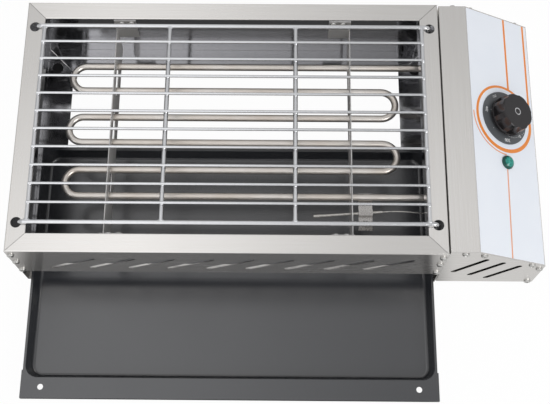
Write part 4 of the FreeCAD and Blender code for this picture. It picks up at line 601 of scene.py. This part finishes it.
# Floor: a pale sheet that runs out to white and keeps the grill's soft shadow.
# What the steel mirrors of it is darker under the casing and the tray, where no light reaches.
UNDER_MIDDLE = (-0.064, -0.065)
UNDER_REACH = (0.254, 0.265)
SOFT_EDGE = (-0.03, 0.02)
LIT, SHADED = 0.76, 0.07
FLOOR_HALF = 6.0
SEEN_WHITE = 0.97
floor_mesh = bpy.data.meshes.new("floor")
floor_form = bmesh.new()
bmesh.ops.create_grid(floor_form, x_segments=1, y_segments=1, size=FLOOR_HALF)
floor_form.to_mesh(floor_mesh)
floor_form.free()
floor = bpy.data.objects.new("floor", floor_mesh)
bpy.context.scene.collection.objects.link(floor)

pale_floor = new_material("pale_floor")
path = add(pale_floor, "LightPath")
seen = calc(pale_floor, "MULTIPLY", calc(
    pale_floor, "MAXIMUM", path["Is Camera Ray"], path["Is Transmission Ray"]), SEEN_WHITE)
floor_place = add(pale_floor, "SeparateXYZ", {"Vector": add(pale_floor, "TexCoord")["Object"]})
under = 1.0
for axis, middle, reach in zip("XY", UNDER_MIDDLE, UNDER_REACH):
    off_middle = calc(pale_floor, "ABSOLUTE", calc(
        pale_floor, "SUBTRACT", floor_place[axis], middle))
    under = calc(pale_floor, "MULTIPLY", under, add(pale_floor, "MapRange", {
        "Value": off_middle, "From Min": reach + SOFT_EDGE[0],
        "From Max": reach + SOFT_EDGE[1],
        "To Min": 1.0, "To Max": 0.0}, interpolation_type="SMOOTHSTEP")["Result"])
mirrored = add(pale_floor, "MapRange", {"Value": under, "To Min": LIT, "To Max": SHADED})["Result"]
lit_floor = add(pale_floor, "MixShader", {
    0: seen, 1: add(pale_floor, "BsdfDiffuse", {"Color": linear("#F4F4F4")})["BSDF"],
    2: add(pale_floor, "Emission", {"Color": linear("#FFFFFF"), "Strength": 1.0})["Emission"]})[0]
mirror_floor = add(pale_floor, "Emission", {
    "Color": linear("#FFFFFF"), "Strength": mirrored})["Emission"]
add(pale_floor, "OutputMaterial", {"Surface": add(pale_floor, "MixShader", {
    0: path["Is Glossy Ray"], 1: lit_floor, 2: mirror_floor})[0]})
floor_mesh.materials.append(pale_floor)


# Light and camera: a studio ceiling that is brightest left of the middle and falls off to both
# sides and to the back, a soft lamp at the front right, and a camera high over the front.
BRIGHTEST = 1.32
world = bpy.data.worlds.new("studio")
bpy.context.scene.world = world
world.use_nodes = True
world.node_tree.nodes.clear()
sky = add(world, "SeparateXYZ", {"Vector": add(world, "TexCoord")["Generated"]})
left_shade = add(world, "MapRange", {
    "Value": sky["Y"], "From Min": 0.29, "From Max": 0.5,
    "To Min": 0.0, "To Max": 0.065})["Result"]
from_left = add(world, "MapRange", {
    "Value": calc(world, "SUBTRACT", sky["X"], left_shade), "From Min": -0.4, "From Max": -0.2,
    "To Min": 0.62, "To Max": BRIGHTEST})["Result"]
right_end = add(world, "MapRange", {
    "Value": sky["Y"], "From Min": 0.15, "From Max": 0.3,
    "To Min": 0.5, "To Max": 0.77})["Result"]
to_right = add(world, "MapRange", {
    "Value": sky["X"], "From Min": -0.2, "From Max": 0.1,
    "To Min": BRIGHTEST, "To Max": right_end})["Result"]
to_back = add(world, "MapRange", {
    "Value": sky["Y"], "From Min": 0.28, "From Max": 0.5,
    "To Min": 1.15, "To Max": 0.77})["Result"]
glow = calc(world, "MULTIPLY", calc(world, "MINIMUM", from_left, to_right), to_back)
add(world, "OutputWorld", {"Surface": add(world, "MixShader", {
    0: add(world, "LightPath")["Is Camera Ray"],
    1: add(world, "Background", {"Color": linear("#FAFAFB"), "Strength": glow})["Background"],
    2: add(world, "Background", {"Color": linear("#FFFFFF"), "Strength": 1.0})["Background"]})[0]})

lamp = bpy.data.lights.new("right_lamp", "AREA")
lamp.shape = "RECTANGLE"
lamp.size = 1.0
lamp.size_y = 1.0
lamp.energy = 15
lamp_holder = bpy.data.objects.new("right_lamp", lamp)
lamp_holder.location = (1.1, -1.2, 1.5)
lamp_holder.rotation_euler = (-lamp_holder.location).to_track_quat("-Z", "Y").to_euler()
lamp_holder.visible_camera = False
bpy.context.scene.collection.objects.link(lamp_holder)

camera = bpy.data.cameras.new("camera")
camera.lens = 66.3
camera.sensor_width = 36
camera.clip_start = 0.05
eye = bpy.data.objects.new("camera", camera)
eye.location = (0.0022, -0.3938, 1.1465)
eye.rotation_euler = [math.radians(turn) for turn in (19.5986, 0.2375, 0.5015)]
bpy.context.scene.collection.objects.link(eye)
bpy.context.scene.camera = eye
bpy.context.scene.view_settings.view_transform = "Standard"
